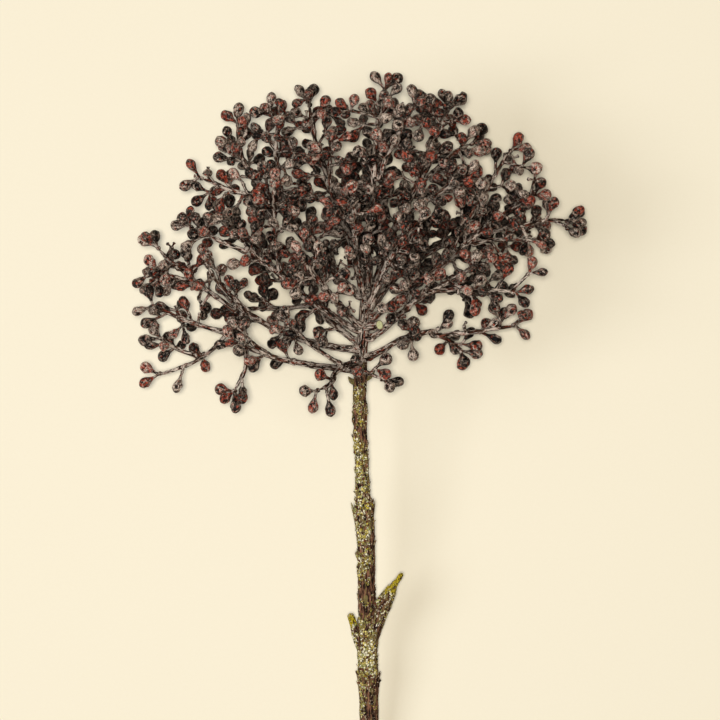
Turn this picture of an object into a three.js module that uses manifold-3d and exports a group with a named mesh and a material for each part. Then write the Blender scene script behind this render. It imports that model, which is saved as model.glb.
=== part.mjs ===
// Viburnum berry sprig: one cut twig with its head of withered berries, lying on its side.
// Millimetres, +Z up. The sprig lies on z = 0 with the cut end of its stem towards -Y.
//
// The main stem rises from its cut end to the head and ends inside it. Rays leave the stem, sprays
// leave the rays, and each carries cymules: a short stalk with a few pear-shaped berries. Nothing
// moves. Every ray and spray is a solid of its own, with a small gap to the one that bears it.

import * as THREE from 'three';
import { mergeVertices } from 'three/addons/utils/BufferGeometryUtils.js';
import Module from 'manifold-3d';

const wasm = await Module();
wasm.setup();

// Driving dimensions
const GAP = 0.35; // clear space between two solids
const BERRY = { length: 7.0, radius: 2.4, neck: 0.6, widest: 0.62, sides: 5 };
const STALK = { radius: 0.65, sides: 3 }; // the stalk of a cymule
const PEDICEL = { radius: 0.5, length: 2.2 }; // the thread that holds one berry
const RAY = { base: 1.45, tip: 0.95, sides: 6, joints: 4 };
const SPRAY = { base: 1.0, tip: 0.65, sides: 5, joints: 3 };
const TIP_ROOM = 9; // from the end of a twig to the place its berries reach

// How a cymule stands: angles in radians, lengths as shares of the twig or of its own reach
const FULL_TURN = 2 * Math.PI;
const GOLDEN_ANGLE = 2.4; // between one cymule and the next, round their twig
const CYMULE_LEAN = [0.7, 1.2]; // from the line of the twig
const TIP_LEAN = [0, 0.3]; // the same for the cymule that ends a twig
const BERRY_LEAN = [0.52, 0.98]; // of a berry from the line of its stalk
const STALK_STRETCH = [0.45, 0.75];
const TIP_STRETCH = 0.25;
const BERRIED_SHARE = 0.7; // the outer part of a twig that carries cymules
const CYMULE_PLAY = 0.5; // how far a cymule's bearing strays to each side
const BERRY_PLAY = 0.6; // the same for a berry round its stalk
const STEEPEST = 0.95; // the rise of the steepest piece kept up off the table
const NESTLING = 0.8; // how near two berries of one twig come, as a share of touching

const TRIES = 16; // places tried before a berry or a cymule is left out
const TRY_STEP = 0.8; // how far a cymule is turned round its twig for the next try
const LIFTS = 40; // heights tried for the bend of a branch, a millimetre apart
const SEED = 20117;
const WELD = 1e-4; // vertices nearer than this are one

// The stem from its cut end to its tip inside the head: x, y, z and radius. Two worn collars and
// the flared sheath of old bud scales are the places where it thickens.
const STEM_SIDES = 9;
const SNAG_SIDES = 5;
const SIDE_PIECE_SIDES = 7;
const STEM = [
  [3.6, -190, 3.9, 4.1],
  [3.2, -165, 8.6, 3.9],
  [2.8, -138, 13.4, 3.9],
  [2.7, -132, 14.5, 4.6],
  [2.6, -127, 15.4, 4.5],
  [2.4, -122, 16.3, 4.2],
  [2.2, -112, 18.1, 4.6],
  [2.1, -104, 19.5, 4.0],
  [2.0, -94, 21.3, 3.7],
  [1.9, -80, 23.8, 3.5],
  [1.4, -70, 25.5, 3.8],
  [0.8, -60, 27.3, 4.3],
  [0.5, -56, 28.0, 3.3],
  [0.2, -48, 29.5, 2.9],
  [-0.8, -30, 32.7, 2.9],
  [-0.8, -12, 35.9, 2.9],
  [-0.2, 2, 38.3, 2.3],
  [1.0, 16, 41, 2.4],
  [2.0, 30, 44, 2.1],
  [3.0, 42, 47, 1.5],
];
// What stands on the stem and is one wood with it: foot, tip, and radius at the foot and the tip.
const STEM_SNAGS = {
  left_scale: [[-1.4, -70, 26], [-4.4, -57.5, 29], 1.9, 0.3],
  right_scale: [[3.4, -72, 25.5], [5.3, -57, 28.5], 1.9, 0.3],
  lower_scale: [[1.0, -70, 22.5], [0.6, -58, 22.6], 1.9, 0.3],
  old_bud: [[0.4, -82, 25], [-2.2, -78, 26.5], 1.6, 1.0],
  pruned_stub: [[0.8, 13, 40.5], [7.0, 14, 47.5], 1.9, 1.8],
};
// Pieces that are cut to fit the side of the stem: the points and the radii of each.
const SIDE_PIECES = {
  right_spur: {
    points: [
      [2.8, -118, 17], [6.0, -106, 20], [8.6, -99.5, 22],
      [11.4, -94.2, 23.5], [13.0, -91.8, 24], [16.4, -86.4, 25],
    ],
    radii: [2.6, 3.6, 3.4, 2.5, 1.3, 1.1],
  },
  left_spur: {
    points: [[1.2, -121, 17], [-1.4, -112.5, 19], [-3.6, -107, 20], [-5.0, -103.2, 20.6]],
    radii: [2.2, 2.5, 1.5, 1.3],
  },
  right_bract: {
    points: [[0.4, -8.4, 36.4], [3.2, -6.4, 37.4], [5.4, -3.6, 38.2]],
    radii: [0.7, 0.95, 0.25],
  },
  left_bract: {
    points: [[-1.6, -9.6, 36.2], [-4.2, -8.6, 37.2], [-5.6, -6.6, 37.8]],
    radii: [0.7, 0.9, 0.25],
  },
};

// Every ray and spray: its name, what bears it and how far along that, where its berries reach,
// how far it bows to its left, how far its cymules stand out, and how many cymules it carries.
const BRANCHES = [
  ['left_low_ray', 'stem', 0.85, [-60, 26, 44], 9, 7, 3],
  ['left_side_ray', 'stem', 0.82, [-57, 8, 56], 5, 5, 3],
  ['front_low_ray', 'stem', 0.83, [-16, -9, 68], -4, 6, 2],
  ['right_low_ray', 'stem', 0.84, [38, 15, 44], 2, 7, 2],
  ['right_mid_ray', 'stem', 0.87, [31, 33, 64], -3, 10, 4],
  ['right_long_ray', 'stem', 0.90, [56, 58, 46], -3, 10, 4],
  ['right_top_ray', 'stem', 0.95, [32, 88, 44], 2, 10, 4],
  ['top_ray', 'stem', 0.99, [6, 92, 56], 0, 10, 4],
  ['left_top_ray', 'stem', 0.97, [-20, 90, 42], 2, 10, 4],
  ['left_up_ray', 'stem', 0.93, [-46, 76, 44], 4, 10, 4],
  ['left_mid_ray', 'stem', 0.88, [-54, 52, 56], 5, 10, 4],
  ['front_left_ray', 'stem', 0.89, [-26, 42, 80], 3, 10, 4],
  ['front_ray', 'stem', 0.94, [-4, 66, 84], 3, 10, 4],
  ['front_right_ray', 'stem', 0.92, [26, 60, 80], 3, 10, 4],
  ['back_left_ray', 'stem', 0.86, [-42, 44, 5], 3, 10, 4],
  ['back_right_ray', 'stem', 0.91, [38, 54, 5], 3, 10, 4],
  ['back_ray', 'stem', 0.96, [-6, 78, 5], 3, 10, 4],
  ['far_left_spray', 'left_low_ray', 0.97, [-88, 49, 50], 3, 7, 3],
  ['left_edge_spray', 'far_left_spray', 0.55, [-92, 36, 38], 0, 6, 3],
  ['left_thicket_spray', 'left_low_ray', 0.88, [-66, 42, 60], 2, 8, 4],
  ['left_bowed_spray', 'left_low_ray', 0.90, [-88, -11, 36], 9, 4, 3],
  ['left_hook_spray', 'left_bowed_spray', 0.62, [-88, 12, 32], 1, 5, 3],
  ['left_shelf_spray', 'left_bowed_spray', 0.25, [-90, 24, 50], 1, 7, 4],
  ['left_drop_spray', 'left_side_ray', 0.94, [-53, -20, 44], 3, 4, 2],
  ['left_club_spray', 'left_side_ray', 0.80, [-50, 14, 66], 1, 7, 3],
  ['front_drop_spray', 'front_low_ray', 0.93, [-23, -18, 60], 2, 6, 2],
  ['front_left_low_spray', 'front_low_ray', 0.55, [-33, 17, 72], 1, 7, 4],
  ['front_crossing_spray', 'front_low_ray', 0.45, [15, -10, 60], 0, 5, 2],
  ['right_drop_spray', 'right_low_ray', 0.93, [46, 0, 36], 2, 5, 3],
  ['right_edge_low_spray', 'right_low_ray', 0.97, [69, 14, 42], -2, 6, 3],
  ['right_shelf_spray', 'right_mid_ray', 0.95, [68, 27, 58], 2, 7, 4],
  ['right_pendant_spray', 'right_low_ray', 0.50, [22, 8, 62], 2, 5, 1],
  ['right_bough_spray', 'right_mid_ray', 0.80, [56, 42, 70], 1, 9, 4],
  ['far_right_spray', 'right_long_ray', 0.97, [90, 57, 46], 2, 6, 3],
  ['right_arm_spray', 'right_long_ray', 0.88, [77, 48, 34], 1, 7, 3],
  ['right_arch_spray', 'right_long_ray', 0.90, [74, 70, 54], 1, 7, 3],
  ['right_spire_spray', 'right_long_ray', 0.75, [63, 91, 46], 2, 6, 3],
  ['right_crown_spray', 'right_top_ray', 0.80, [50, 92, 34], 2, 8, 3],
  ['top_right_spray', 'right_top_ray', 0.95, [37, 107, 48], 1, 7, 3],
  ['right_heart_spray', 'right_top_ray', 0.55, [46, 74, 66], 1, 9, 4],
  ['top_tuft_spray', 'top_ray', 0.95, [10, 115, 52], 1, 6, 3],
  ['top_inner_spray', 'top_ray', 0.75, [24, 106, 66], 1, 8, 4],
  ['top_left_tuft_spray', 'left_top_ray', 0.95, [-23, 110, 44], 1, 6, 3],
  ['top_gap_spray', 'left_top_ray', 0.75, [-12, 92, 62], 1, 7, 3],
  ['left_shoulder_spray', 'left_up_ray', 0.80, [-34, 102, 52], 2, 8, 3],
  ['left_corner_spray', 'left_up_ray', 0.95, [-55, 91, 40], 1, 7, 3],
  ['left_horn_spray', 'left_up_ray', 0.88, [-72, 75, 44], 1, 7, 3],
  ['left_ear_spray', 'left_mid_ray', 0.95, [-75, 55, 60], 1, 7, 3],
  ['left_heart_spray', 'left_mid_ray', 0.70, [-35, 73, 70], 1, 9, 4],
  ['back_left_spray', 'back_left_ray', 0.75, [-58, 64, 16], 1, 9, 3],
  ['back_left_low_spray', 'back_left_ray', 0.55, [-60, 20, 12], 1, 9, 3],
  ['back_right_spray', 'back_right_ray', 0.75, [64, 60, 14], 1, 9, 3],
  ['back_right_low_spray', 'back_right_ray', 0.50, [48, 24, 10], 1, 9, 3],
  ['back_top_spray', 'back_ray', 0.75, [16, 96, 16], 1, 9, 3],
  ['back_inner_spray', 'back_ray', 0.45, [6, 46, 6], 1, 7, 3],
];

// Solids

/** The closed geometry as a manifold solid. */
function solid(geometry) {
  const bare = geometry.clone();
  bare.deleteAttribute('normal');
  bare.deleteAttribute('uv');
  const merged = mergeVertices(bare, WELD);
  return new wasm.Manifold(new wasm.Mesh({
    numProp: 3,
    vertProperties: merged.attributes.position.array,
    triVerts: merged.index.array,
  }));
}

/** All the solids of one piece joined into a single geometry. */
function joined(solids) {
  const mesh = solids.reduce((whole, next) => whole.add(next)).getMesh();
  const geometry = new THREE.BufferGeometry();
  geometry.setAttribute('position', new THREE.BufferAttribute(mesh.vertProperties, 3));
  geometry.setIndex(new THREE.BufferAttribute(mesh.triVerts, 1));
  geometry.computeVertexNormals();
  return geometry;
}

/** A round twig through the points, with a radius at each: a cylinder bent along them. */
function twig(points, radii, sides) {
  const rings = points.length - 1;
  const geometry = new THREE.CylinderGeometry(1, 1, 1, sides, rings);
  const position = geometry.attributes.position;
  const frames = [];
  let normal = new THREE.Vector3(0, 0, 1);
  for (let k = 0; k <= rings; k += 1) {
    const before = points[Math.max(k - 1, 0)];
    const after = points[Math.min(k + 1, rings)];
    const tangent = after.clone().sub(before).normalize();
    const binormal = tangent.clone().cross(normal).normalize();
    normal = binormal.clone().cross(tangent);
    frames.push({ normal, binormal });
  }
  for (let i = 0; i < position.count; i += 1) {
    const k = Math.round((position.getY(i) + 0.5) * rings);
    const place = points[k].clone();
    place.addScaledVector(frames[k].binormal, position.getX(i) * radii[k]);
    place.addScaledVector(frames[k].normal, position.getZ(i) * radii[k]);
    position.setXYZ(i, place.x, place.y, place.z);
  }
  return geometry;
}

/** A geometry made along +Y, stood at a point and turned to face a direction. */
function placed(geometry, point, direction) {
  const turn = new THREE.Quaternion().setFromUnitVectors(new THREE.Vector3(0, 1, 0), direction);
  return geometry.clone().applyQuaternion(turn).translate(point.x, point.y, point.z);
}

/** A pear-shaped berry on a pedicel, along +Y from the pedicel's foot inside its bearer. */
function berryGeometry(pedicel) {
  const profile = [
    new THREE.Vector2(0, -STALK.radius),
    new THREE.Vector2(BERRY.neck, pedicel),
    new THREE.Vector2(BERRY.radius, pedicel + BERRY.length * BERRY.widest),
    new THREE.Vector2(0, pedicel + BERRY.length),
  ];
  return new THREE.LatheGeometry(profile, BERRY.sides);
}

// Growth

/** Repeatable numbers between two limits: the multiplicative rule of Lehmer. */
function dice(seed) {
  const modulus = 2147483647;
  let state = seed;
  return (low, high) => {
    state = (state * 48271) % modulus;
    return low + (high - low) * (state / modulus);
  };
}

const roll = dice(SEED);
const rods = []; // every round length that has been placed: ends a and b, radius and owner

/** The least distance between the lines a-b and c-d, each between its own ends. */
function distance(a, b, c, d) {
  const first = b.clone().sub(a);
  const second = d.clone().sub(c);
  const apart = a.clone().sub(c);
  const aa = first.dot(first);
  const bb = second.dot(second);
  const ab = first.dot(second);
  const ad = first.dot(apart);
  const bd = second.dot(apart);
  const clamp = (value) => Math.min(1, Math.max(0, value));
  const room = aa * bb - ab * ab;
  let s = room > 1e-9 ? clamp((ab * bd - ad * bb) / room) : 0;
  let t = (ab * s + bd) / bb;
  if (t < 0 || t > 1) {
    t = clamp(t);
    s = clamp((ab * t - ad) / aa);
  }
  return apart.addScaledVector(first, s).addScaledVector(second, -t).length();
}

/** True where a rod keeps its gap to all other pieces, and a berry to its own piece's berries. */
function isClear(rod, ignored = []) {
  return rods.every((other) => {
    if (ignored.includes(other.owner)) return true;
    const own = other.owner === rod.owner;
    if (own && !(rod.berry && other.berry)) return true;
    const wanted = own ? (rod.radius + other.radius) * NESTLING : rod.radius + other.radius + GAP;
    return distance(rod.a, rod.b, other.a, other.b) >= wanted;
  });
}

/** The point at a share of a path's length, counted by its joints, and the direction there. */
function along(points, share) {
  const place = share * (points.length - 1);
  const k = Math.min(Math.floor(place), points.length - 2);
  const direction = points[k + 1].clone().sub(points[k]).normalize();
  return { point: points[k].clone().lerp(points[k + 1], place - k), direction };
}

/** The radius at a share of a path that tapers evenly. */
function taper(radii, share) {
  const place = share * (radii.length - 1);
  const k = Math.min(Math.floor(place), radii.length - 2);
  return radii[k] + (radii[k + 1] - radii[k]) * (place - k);
}

/** Two directions square to the given one and to each other. */
function square(direction) {
  const up = Math.abs(direction.z) < 0.9 ? new THREE.Vector3(0, 0, 1) : new THREE.Vector3(1, 0, 0);
  const side = direction.clone().cross(up).normalize();
  return [side, side.clone().cross(direction)];
}

/** The direction leaned away from a line by an angle, towards a bearing round that line. */
function leaned(direction, angle, bearing) {
  const [side, over] = square(direction);
  return direction.clone().multiplyScalar(Math.cos(angle))
    .addScaledVector(side, Math.sin(angle) * Math.cos(bearing))
    .addScaledVector(over, Math.sin(angle) * Math.sin(bearing));
}

/** The bent path of a branch, from its bearer's side to short of the place its berries reach. */
function branchPath(bearer, share, reached, bow, lift, size) {
  const { point, direction } = along(bearer.points, share);
  const chord = reached.clone().sub(point);
  const tip = reached.clone().addScaledVector(chord.clone().normalize(), -TIP_ROOM);
  const sideways = new THREE.Vector3(-chord.y, chord.x, 0).normalize();
  const middle = point.clone().lerp(tip, 0.5).addScaledVector(sideways, bow);
  middle.z += lift;
  const lean = middle.clone().sub(point).normalize();
  const cosine = lean.dot(direction);
  const outwards = lean.clone().addScaledVector(direction, -cosine).normalize();
  const clearance = taper(bearer.radii, share) + GAP + size.base * Math.abs(cosine);
  const foot = point.clone().addScaledVector(outwards, clearance);
  const points = new THREE.QuadraticBezierCurve3(foot, middle, tip).getPoints(size.joints);
  points.forEach((joint) => joint.setZ(Math.max(joint.z, size.base)));
  return points;
}

const stemPoints = STEM.map(([x, y, z]) => new THREE.Vector3(x, y, z));
const stemRadii = STEM.map(([, , , radius]) => radius);
const grown = new Map();
grown.set('stem', { points: stemPoints, radii: stemRadii });

/** Marks a path as taken, one rod for each length between two joints. */
function occupy(owner, points, radii) {
  for (let k = 0; k + 1 < points.length; k += 1) {
    rods.push({ owner, a: points[k], b: points[k + 1], radius: Math.max(radii[k], radii[k + 1]) });
  }
}
occupy('stem', stemPoints, stemRadii);
const vector = ([x, y, z]) => new THREE.Vector3(x, y, z);
Object.values(STEM_SNAGS).forEach(([foot, tip, ...radii]) => {
  occupy('stem', [vector(foot), vector(tip)], radii);
});
Object.entries(SIDE_PIECES).forEach(([name, { points, radii }]) => {
  occupy(name, points.map(vector), radii);
});

/** Grows one ray or spray, at the first height of its bend that clears all its neighbours. */
function growBranch([name, bearerName, share, tip, bow]) {
  const bearer = grown.get(bearerName);
  const size = bearerName === 'stem' ? RAY : SPRAY;
  const end = new THREE.Vector3(...tip);
  for (let n = 0; n < LIFTS; n += 1) {
    const lift = (n % 2 === 0 ? 1 : -1) * Math.ceil(n / 2);
    const points = branchPath(bearer, share, end, bow, lift, size);
    const radii = points.map((_, k) => size.base + (size.tip - size.base) * (k / size.joints));
    const free = points.slice(1).every((point, k) => isClear(
      { owner: name, a: points[k], b: point, radius: radii[k] },
      k === 0 ? [bearerName] : [],
    ));
    if (free) {
      occupy(name, points, radii);
      grown.set(name, { points, radii, stalks: [], berries: [] });
      return;
    }
  }
  throw new Error(`${name} finds no room`);
}

/** The direction bent up, where the piece at its far end would otherwise sink into the table. */
function keptUp(foot, direction, reach, radius) {
  const lowest = (radius - foot.z) / reach;
  if (direction.z >= lowest) return direction;
  const rise = Math.min(lowest, STEEPEST);
  const flat = new THREE.Vector3(direction.x, direction.y, 0);
  flat.setLength(Math.sqrt(1 - rise * rise));
  flat.z = rise;
  return flat;
}

/** The rods of one berry: its round body and the pedicel from its foot. */
function berryRods(owner, foot, direction, pedicel) {
  const a = foot.clone().addScaledVector(direction, pedicel + BERRY.radius);
  const b = foot.clone().addScaledVector(direction, pedicel + BERRY.length - BERRY.radius);
  return [
    { owner, a, b, radius: BERRY.radius, berry: true },
    { owner, a: foot, b: a, radius: PEDICEL.radius },
  ];
}

/** Hangs a berry at the end of a stalk, if there is room for it. */
function growBerry(name, foot, line, bearing) {
  const reach = PEDICEL.length + BERRY.length * BERRY.widest;
  for (let n = 0; n < TRIES; n += 1) {
    const wanted = leaned(line, roll(...BERRY_LEAN), bearing + roll(-BERRY_PLAY, BERRY_PLAY));
    const direction = keptUp(foot, wanted, reach, BERRY.radius);
    const parts = berryRods(name, foot, direction, PEDICEL.length);
    if (parts.every((part) => isClear(part))) {
      rods.push(...parts);
      grown.get(name).berries.push({ foot, direction, pedicel: PEDICEL.length });
      return;
    }
  }
}

/** Grows one cymule: a stalk with a pair of berries, or every second time a single berry. */
function growCymule(name, reach, index, count) {
  const branch = grown.get(name);
  const { point, direction } = along(branch.points, 1 - (index / count) * BERRIED_SHARE);
  for (let n = 0; n < TRIES; n += 1) {
    const around = index * GOLDEN_ANGLE + n * TRY_STEP;
    const line = index === 0
      ? leaned(direction, roll(...TIP_LEAN), roll(0, FULL_TURN))
      : leaned(direction, roll(...CYMULE_LEAN), around + roll(-CYMULE_PLAY, CYMULE_PLAY));
    const stretch = reach * (index === 0 ? TIP_STRETCH : roll(...STALK_STRETCH));
    const single = index % 2 === 1;
    const pedicel = single ? PEDICEL.length + stretch : 0;
    const rising = single
      ? keptUp(point, line, pedicel + BERRY.length * BERRY.widest, BERRY.radius)
      : keptUp(point, line, stretch, STALK.radius);
    const end = point.clone().addScaledVector(rising, stretch);
    const parts = single
      ? berryRods(name, point, rising, pedicel)
      : [{ owner: name, a: point, b: end, radius: STALK.radius }];
    if (parts.every((part) => isClear(part))) {
      rods.push(...parts);
      if (single) {
        branch.berries.push({ foot: point, direction: rising, pedicel });
      } else {
        branch.stalks.push({ foot: point, direction: rising, stretch });
        const bearing = roll(0, FULL_TURN);
        growBerry(name, end, rising, bearing);
        growBerry(name, end, rising, bearing + Math.PI);
      }
      return;
    }
  }
}

// The tips are berried first, on every twig, and then the places further back.
BRANCHES.forEach((row) => growBranch(row));
const mostCymules = Math.max(...BRANCHES.map((row) => row.at(-1)));
for (let index = 0; index < mostCymules; index += 1) {
  BRANCHES.forEach(([name, , , , , reach, count]) => {
    if (index < count) growCymule(name, reach, index, count);
  });
}

// Materials
const bark = () => new THREE.MeshStandardMaterial({ color: 0x7f6d48, roughness: 0.9, metalness: 0 });
const twigBark = () => new THREE.MeshStandardMaterial({ color: 0x4f3b2c, roughness: 0.85, metalness: 0 });

const sprig = new THREE.Group();

/** Adds a named piece to the sprig. */
function addPiece(name, geometry, material) {
  const mesh = new THREE.Mesh(geometry, material);
  mesh.name = name;
  sprig.add(mesh);
}

const stemSolids = [solid(twig(stemPoints, stemRadii, STEM_SIDES))];
Object.values(STEM_SNAGS).forEach(([foot, tip, ...radii]) => {
  stemSolids.push(solid(twig([vector(foot), vector(tip)], radii, SNAG_SIDES)));
});
addPiece('main_stem', joined(stemSolids), bark());

const stemRoom = solid(twig(stemPoints, stemRadii.map((radius) => radius + GAP), STEM_SIDES));
Object.entries(SIDE_PIECES).forEach(([name, { points, radii }]) => {
  const piece = solid(twig(points.map(vector), radii, SIDE_PIECE_SIDES)).subtract(stemRoom);
  addPiece(name, joined([piece]), bark());
});

const stalkShape = new THREE.CylinderGeometry(STALK.radius, STALK.radius, 1, STALK.sides);
stalkShape.translate(0, 0.5, 0);
BRANCHES.forEach(([name]) => {
  const { points, radii, stalks, berries } = grown.get(name);
  const sides = radii[0] === RAY.base ? RAY.sides : SPRAY.sides;
  const solids = [solid(twig(points, radii, sides))];
  stalks.forEach(({ foot, direction, stretch }) => {
    solids.push(solid(placed(stalkShape.clone().scale(1, stretch, 1), foot, direction)));
  });
  berries.forEach(({ foot, direction, pedicel }) => {
    solids.push(solid(placed(berryGeometry(pedicel), foot, direction)));
  });
  addPiece(name, joined(solids), twigBark());
});

// The origin is the middle of the footprint, on the table.
const box = new THREE.Box3().setFromObject(sprig);
sprig.position.set(-(box.min.x + box.max.x) / 2, -(box.min.y + box.max.y) / 2, -box.min.z);

export default sprig;
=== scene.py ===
"""A viburnum berry sprig: one cut shoot with its head of withered berries, lying on a table.

A piece is worked out in millimetres from the crown of the sprig, where the stem enters the head,
and becomes a mesh in metres in the frame of the solids.
"""
import math

import bpy
import numpy as np
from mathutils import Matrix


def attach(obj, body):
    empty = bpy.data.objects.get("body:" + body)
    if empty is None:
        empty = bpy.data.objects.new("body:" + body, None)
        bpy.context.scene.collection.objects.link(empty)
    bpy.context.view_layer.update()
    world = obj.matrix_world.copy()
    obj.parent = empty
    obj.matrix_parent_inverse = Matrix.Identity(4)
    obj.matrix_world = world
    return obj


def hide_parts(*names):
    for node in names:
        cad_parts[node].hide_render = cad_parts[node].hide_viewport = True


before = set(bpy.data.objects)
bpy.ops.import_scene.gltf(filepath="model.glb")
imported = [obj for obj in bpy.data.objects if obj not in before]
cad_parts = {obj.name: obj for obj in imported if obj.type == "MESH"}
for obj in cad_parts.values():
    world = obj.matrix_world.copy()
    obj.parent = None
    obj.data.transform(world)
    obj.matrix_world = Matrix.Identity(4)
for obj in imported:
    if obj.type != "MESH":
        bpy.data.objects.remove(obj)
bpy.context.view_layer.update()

CROWN = np.array([1.0100, 37.9943, -0.1136])  # from the middle of the footprint to the crown
MM = 0.001

# From the cut end to the tip inside the head: x, y, z and radius.
STEM = [
    [3.6, -190, 3.9, 4.1],
    [3.2, -165, 8.6, 3.9],
    [2.8, -138, 13.4, 3.9],
    [2.7, -132, 14.5, 4.6],
    [2.6, -127, 15.4, 4.5],
    [2.4, -122, 16.3, 4.2],
    [2.2, -112, 18.1, 4.6],
    [2.1, -104, 19.5, 4.0],
    [2.0, -94, 21.3, 3.7],
    [1.9, -80, 23.8, 3.5],
    [1.4, -70, 25.5, 3.8],
    [0.8, -60, 27.3, 4.3],
    [0.5, -56, 28.0, 3.3],
    [0.2, -48, 29.5, 2.9],
    [-0.8, -30, 32.7, 2.9],
    [-0.8, -12, 35.9, 2.9],
    [-0.2, 2, 38.3, 2.3],
    [1.0, 16, 41, 2.4],
    [2.0, 30, 44, 2.1],
    [3.0, 42, 47, 1.5],
]
# What stands on the stem and is one wood with it: foot, tip, and radius at the foot and the tip.
STEM_SNAGS = {
    "left_scale": ([-1.4, -70, 26], [-4.4, -57.5, 29], 1.9, 0.3),
    "right_scale": ([3.4, -72, 25.5], [5.3, -57, 28.5], 1.9, 0.3),
    "lower_scale": ([1.0, -70, 22.5], [0.6, -58, 22.6], 1.9, 0.3),
    "old_bud": ([0.4, -82, 25], [-2.2, -78, 26.5], 1.6, 1.0),
    "pruned_stub": ([0.8, 13, 40.5], [7.0, 14, 47.5], 1.9, 1.8),
}


class Dice:
    """Repeatable numbers between two limits: the multiplicative rule of Lehmer."""

    def __init__(self, seed):
        self.state = seed

    def __call__(self, low, high):
        self.state = self.state * 48271 % 2147483647
        return low + (high - low) * (self.state / 2147483647)

    def triple(self, low, high):
        return np.array([self(low, high), self(low, high), self(low, high)])


def unit(vector):
    return vector / math.sqrt(vector @ vector)


def smoothstep(low, high, value):
    """0 below one limit, 1 above the other, and smooth between them."""
    share = np.clip((value - low) / (high - low), 0, 1)
    return share * share * (3 - 2 * share)


def bell(value, width):
    """1 at 0, and fading to nothing a few widths away."""
    return np.exp(-(value / width) ** 2)


CUBE_CORNERS = [np.array([k & 1, k >> 1 & 1, k >> 2 & 1]) for k in range(8)]


def corner_weight(corner, part):
    """How much a corner of a cell counts at each place, given how far over the cell that lies."""
    return np.prod(np.where(corner, part, 1 - part), axis=1)


def value_noise(points, seed):
    """Smooth chance values between -1 and 1 over space, on a lattice one unit wide."""
    cell = np.floor(points).astype(np.int64)
    part = points - cell
    part = part * part * (3 - 2 * part)
    total = np.zeros(len(points))
    for corner in CUBE_CORNERS:
        key = (cell + corner) @ np.array([73856093, 19349663, 83492791]) + seed * 97911
        key = (key ^ (key >> 13)) * 1274126177
        key = (key ^ (key >> 15)) * 668265263
        value = ((key ^ (key >> 16)) & 0xFFFF) / 32767.5 - 1
        total += value * corner_weight(corner, part)
    return total


def rough(points, size, seed, octaves=2):
    """Noise of a size in millimetres, with finer noise added at each octave."""
    total = np.zeros(len(points))
    for k in range(octaves):
        total += value_noise(points * (2 ** k / size), seed + k) * 0.5 ** k
    return total


def turns_round(columns):
    """The angle of every column round a rod."""
    return np.arange(columns) * (math.tau / columns)


def between(foot, tip, share):
    return foot + (tip - foot) * share[:, None]


def gone_along(line):
    """How far along a path each of its points lies."""
    return np.concatenate([[0], np.cumsum(np.linalg.norm(np.diff(line, axis=0), axis=1))])


def with_ends(values):
    """The values of a rod's points, with those of its first and last points for its two ends."""
    return values if np.ndim(values) == 0 else np.concatenate([values, values[:1], values[-1:]])


def path_frames(line, hint):
    """Two directions square to a path at each of its points, the first one starting at a hint."""
    ahead = np.gradient(line, axis=0)
    # Where the path stands still, the direction is that of the nearest place where it moves.
    for order, step in ((range(1, len(line)), -1), (range(len(line) - 2, -1, -1), 1)):
        for k in order:
            if ahead[k] @ ahead[k] < 1e-12:
                ahead[k] = ahead[k + step]
    ahead /= np.linalg.norm(ahead, axis=1)[:, None]
    normal = np.asarray(hint, float)
    normals = []
    for direction in ahead:
        normal = normal - direction * (normal @ direction)
        normal = normal / math.sqrt(normal @ normal)
        normals.append(normal)
    normals = np.array(normals)
    return normals, np.cross(ahead, normals)


def ring_triangles(rings, columns):
    """The triangles of a tube of rings, with a point at each end, facing out."""
    ring = np.arange(rings - 1)[:, None] * columns
    here = np.arange(columns)[None, :]
    there = (here + 1) % columns
    a = (ring + here).ravel()
    b = (ring + there).ravel()
    sides = np.concatenate([np.stack([a, b, b + columns], 1), np.stack([a, b + columns, a + columns], 1)])
    first = rings * columns
    last = (rings - 1) * columns
    here = here.ravel()
    there = there.ravel()
    foot = np.stack([np.full(columns, first), there, here], 1)
    tip = np.stack([np.full(columns, first + 1), here + last, there + last], 1)
    return np.concatenate([sides, foot, tip])


def tube(line, radii, hint=(0.013, 0.021, 1)):
    """A closed round rod along a path, with a radius for every point: a ring for each row of radii."""
    side, over = path_frames(line, hint)
    turn = turns_round(radii.shape[1])
    across = side[:, None] * np.cos(turn)[None, :, None] + over[:, None] * np.sin(turn)[None, :, None]
    points = (line[:, None] + across * radii[:, :, None]).reshape(-1, 3)
    points = np.concatenate([points, line[:1], line[-1:]])
    return points, ring_triangles(*radii.shape)


def rod_grain(line, columns, reach=1.0):
    """A place for grain that runs along the rod, for every point of a tube as wide as the reach."""
    turn = turns_round(columns)
    reach = np.repeat(np.broadcast_to(reach, len(line)), columns)
    return np.stack([
        np.tile(np.cos(turn), len(line)) * reach,
        np.tile(np.sin(turn), len(line)) * reach,
        np.repeat(gone_along(line), columns),
    ], 1)


class Shape:
    """Points, triangles and surface values gathered for one mesh."""

    def __init__(self):
        self.points = []
        self.triangles = []
        self.materials = []
        self.values = {"grain": [], "ridge": [], "tone": [], "cover": []}
        self.count = 0

    def add(self, points, triangles, material=0, **values):
        """Adds a closed body. Its values are those of a tube's points, or one for all of it."""
        self.points.append(points)
        self.triangles.append(np.asarray(triangles) + self.count)
        self.materials.append(np.broadcast_to(material, len(triangles)))
        for key, first in (("grain", None), ("ridge", 0.5), ("tone", 0.5), ("cover", 0.0)):
            given = with_ends(values.get(key, first))
            self.values[key].append(given if key == "grain" else np.broadcast_to(given, len(points)))
        self.count += len(points)


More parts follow.
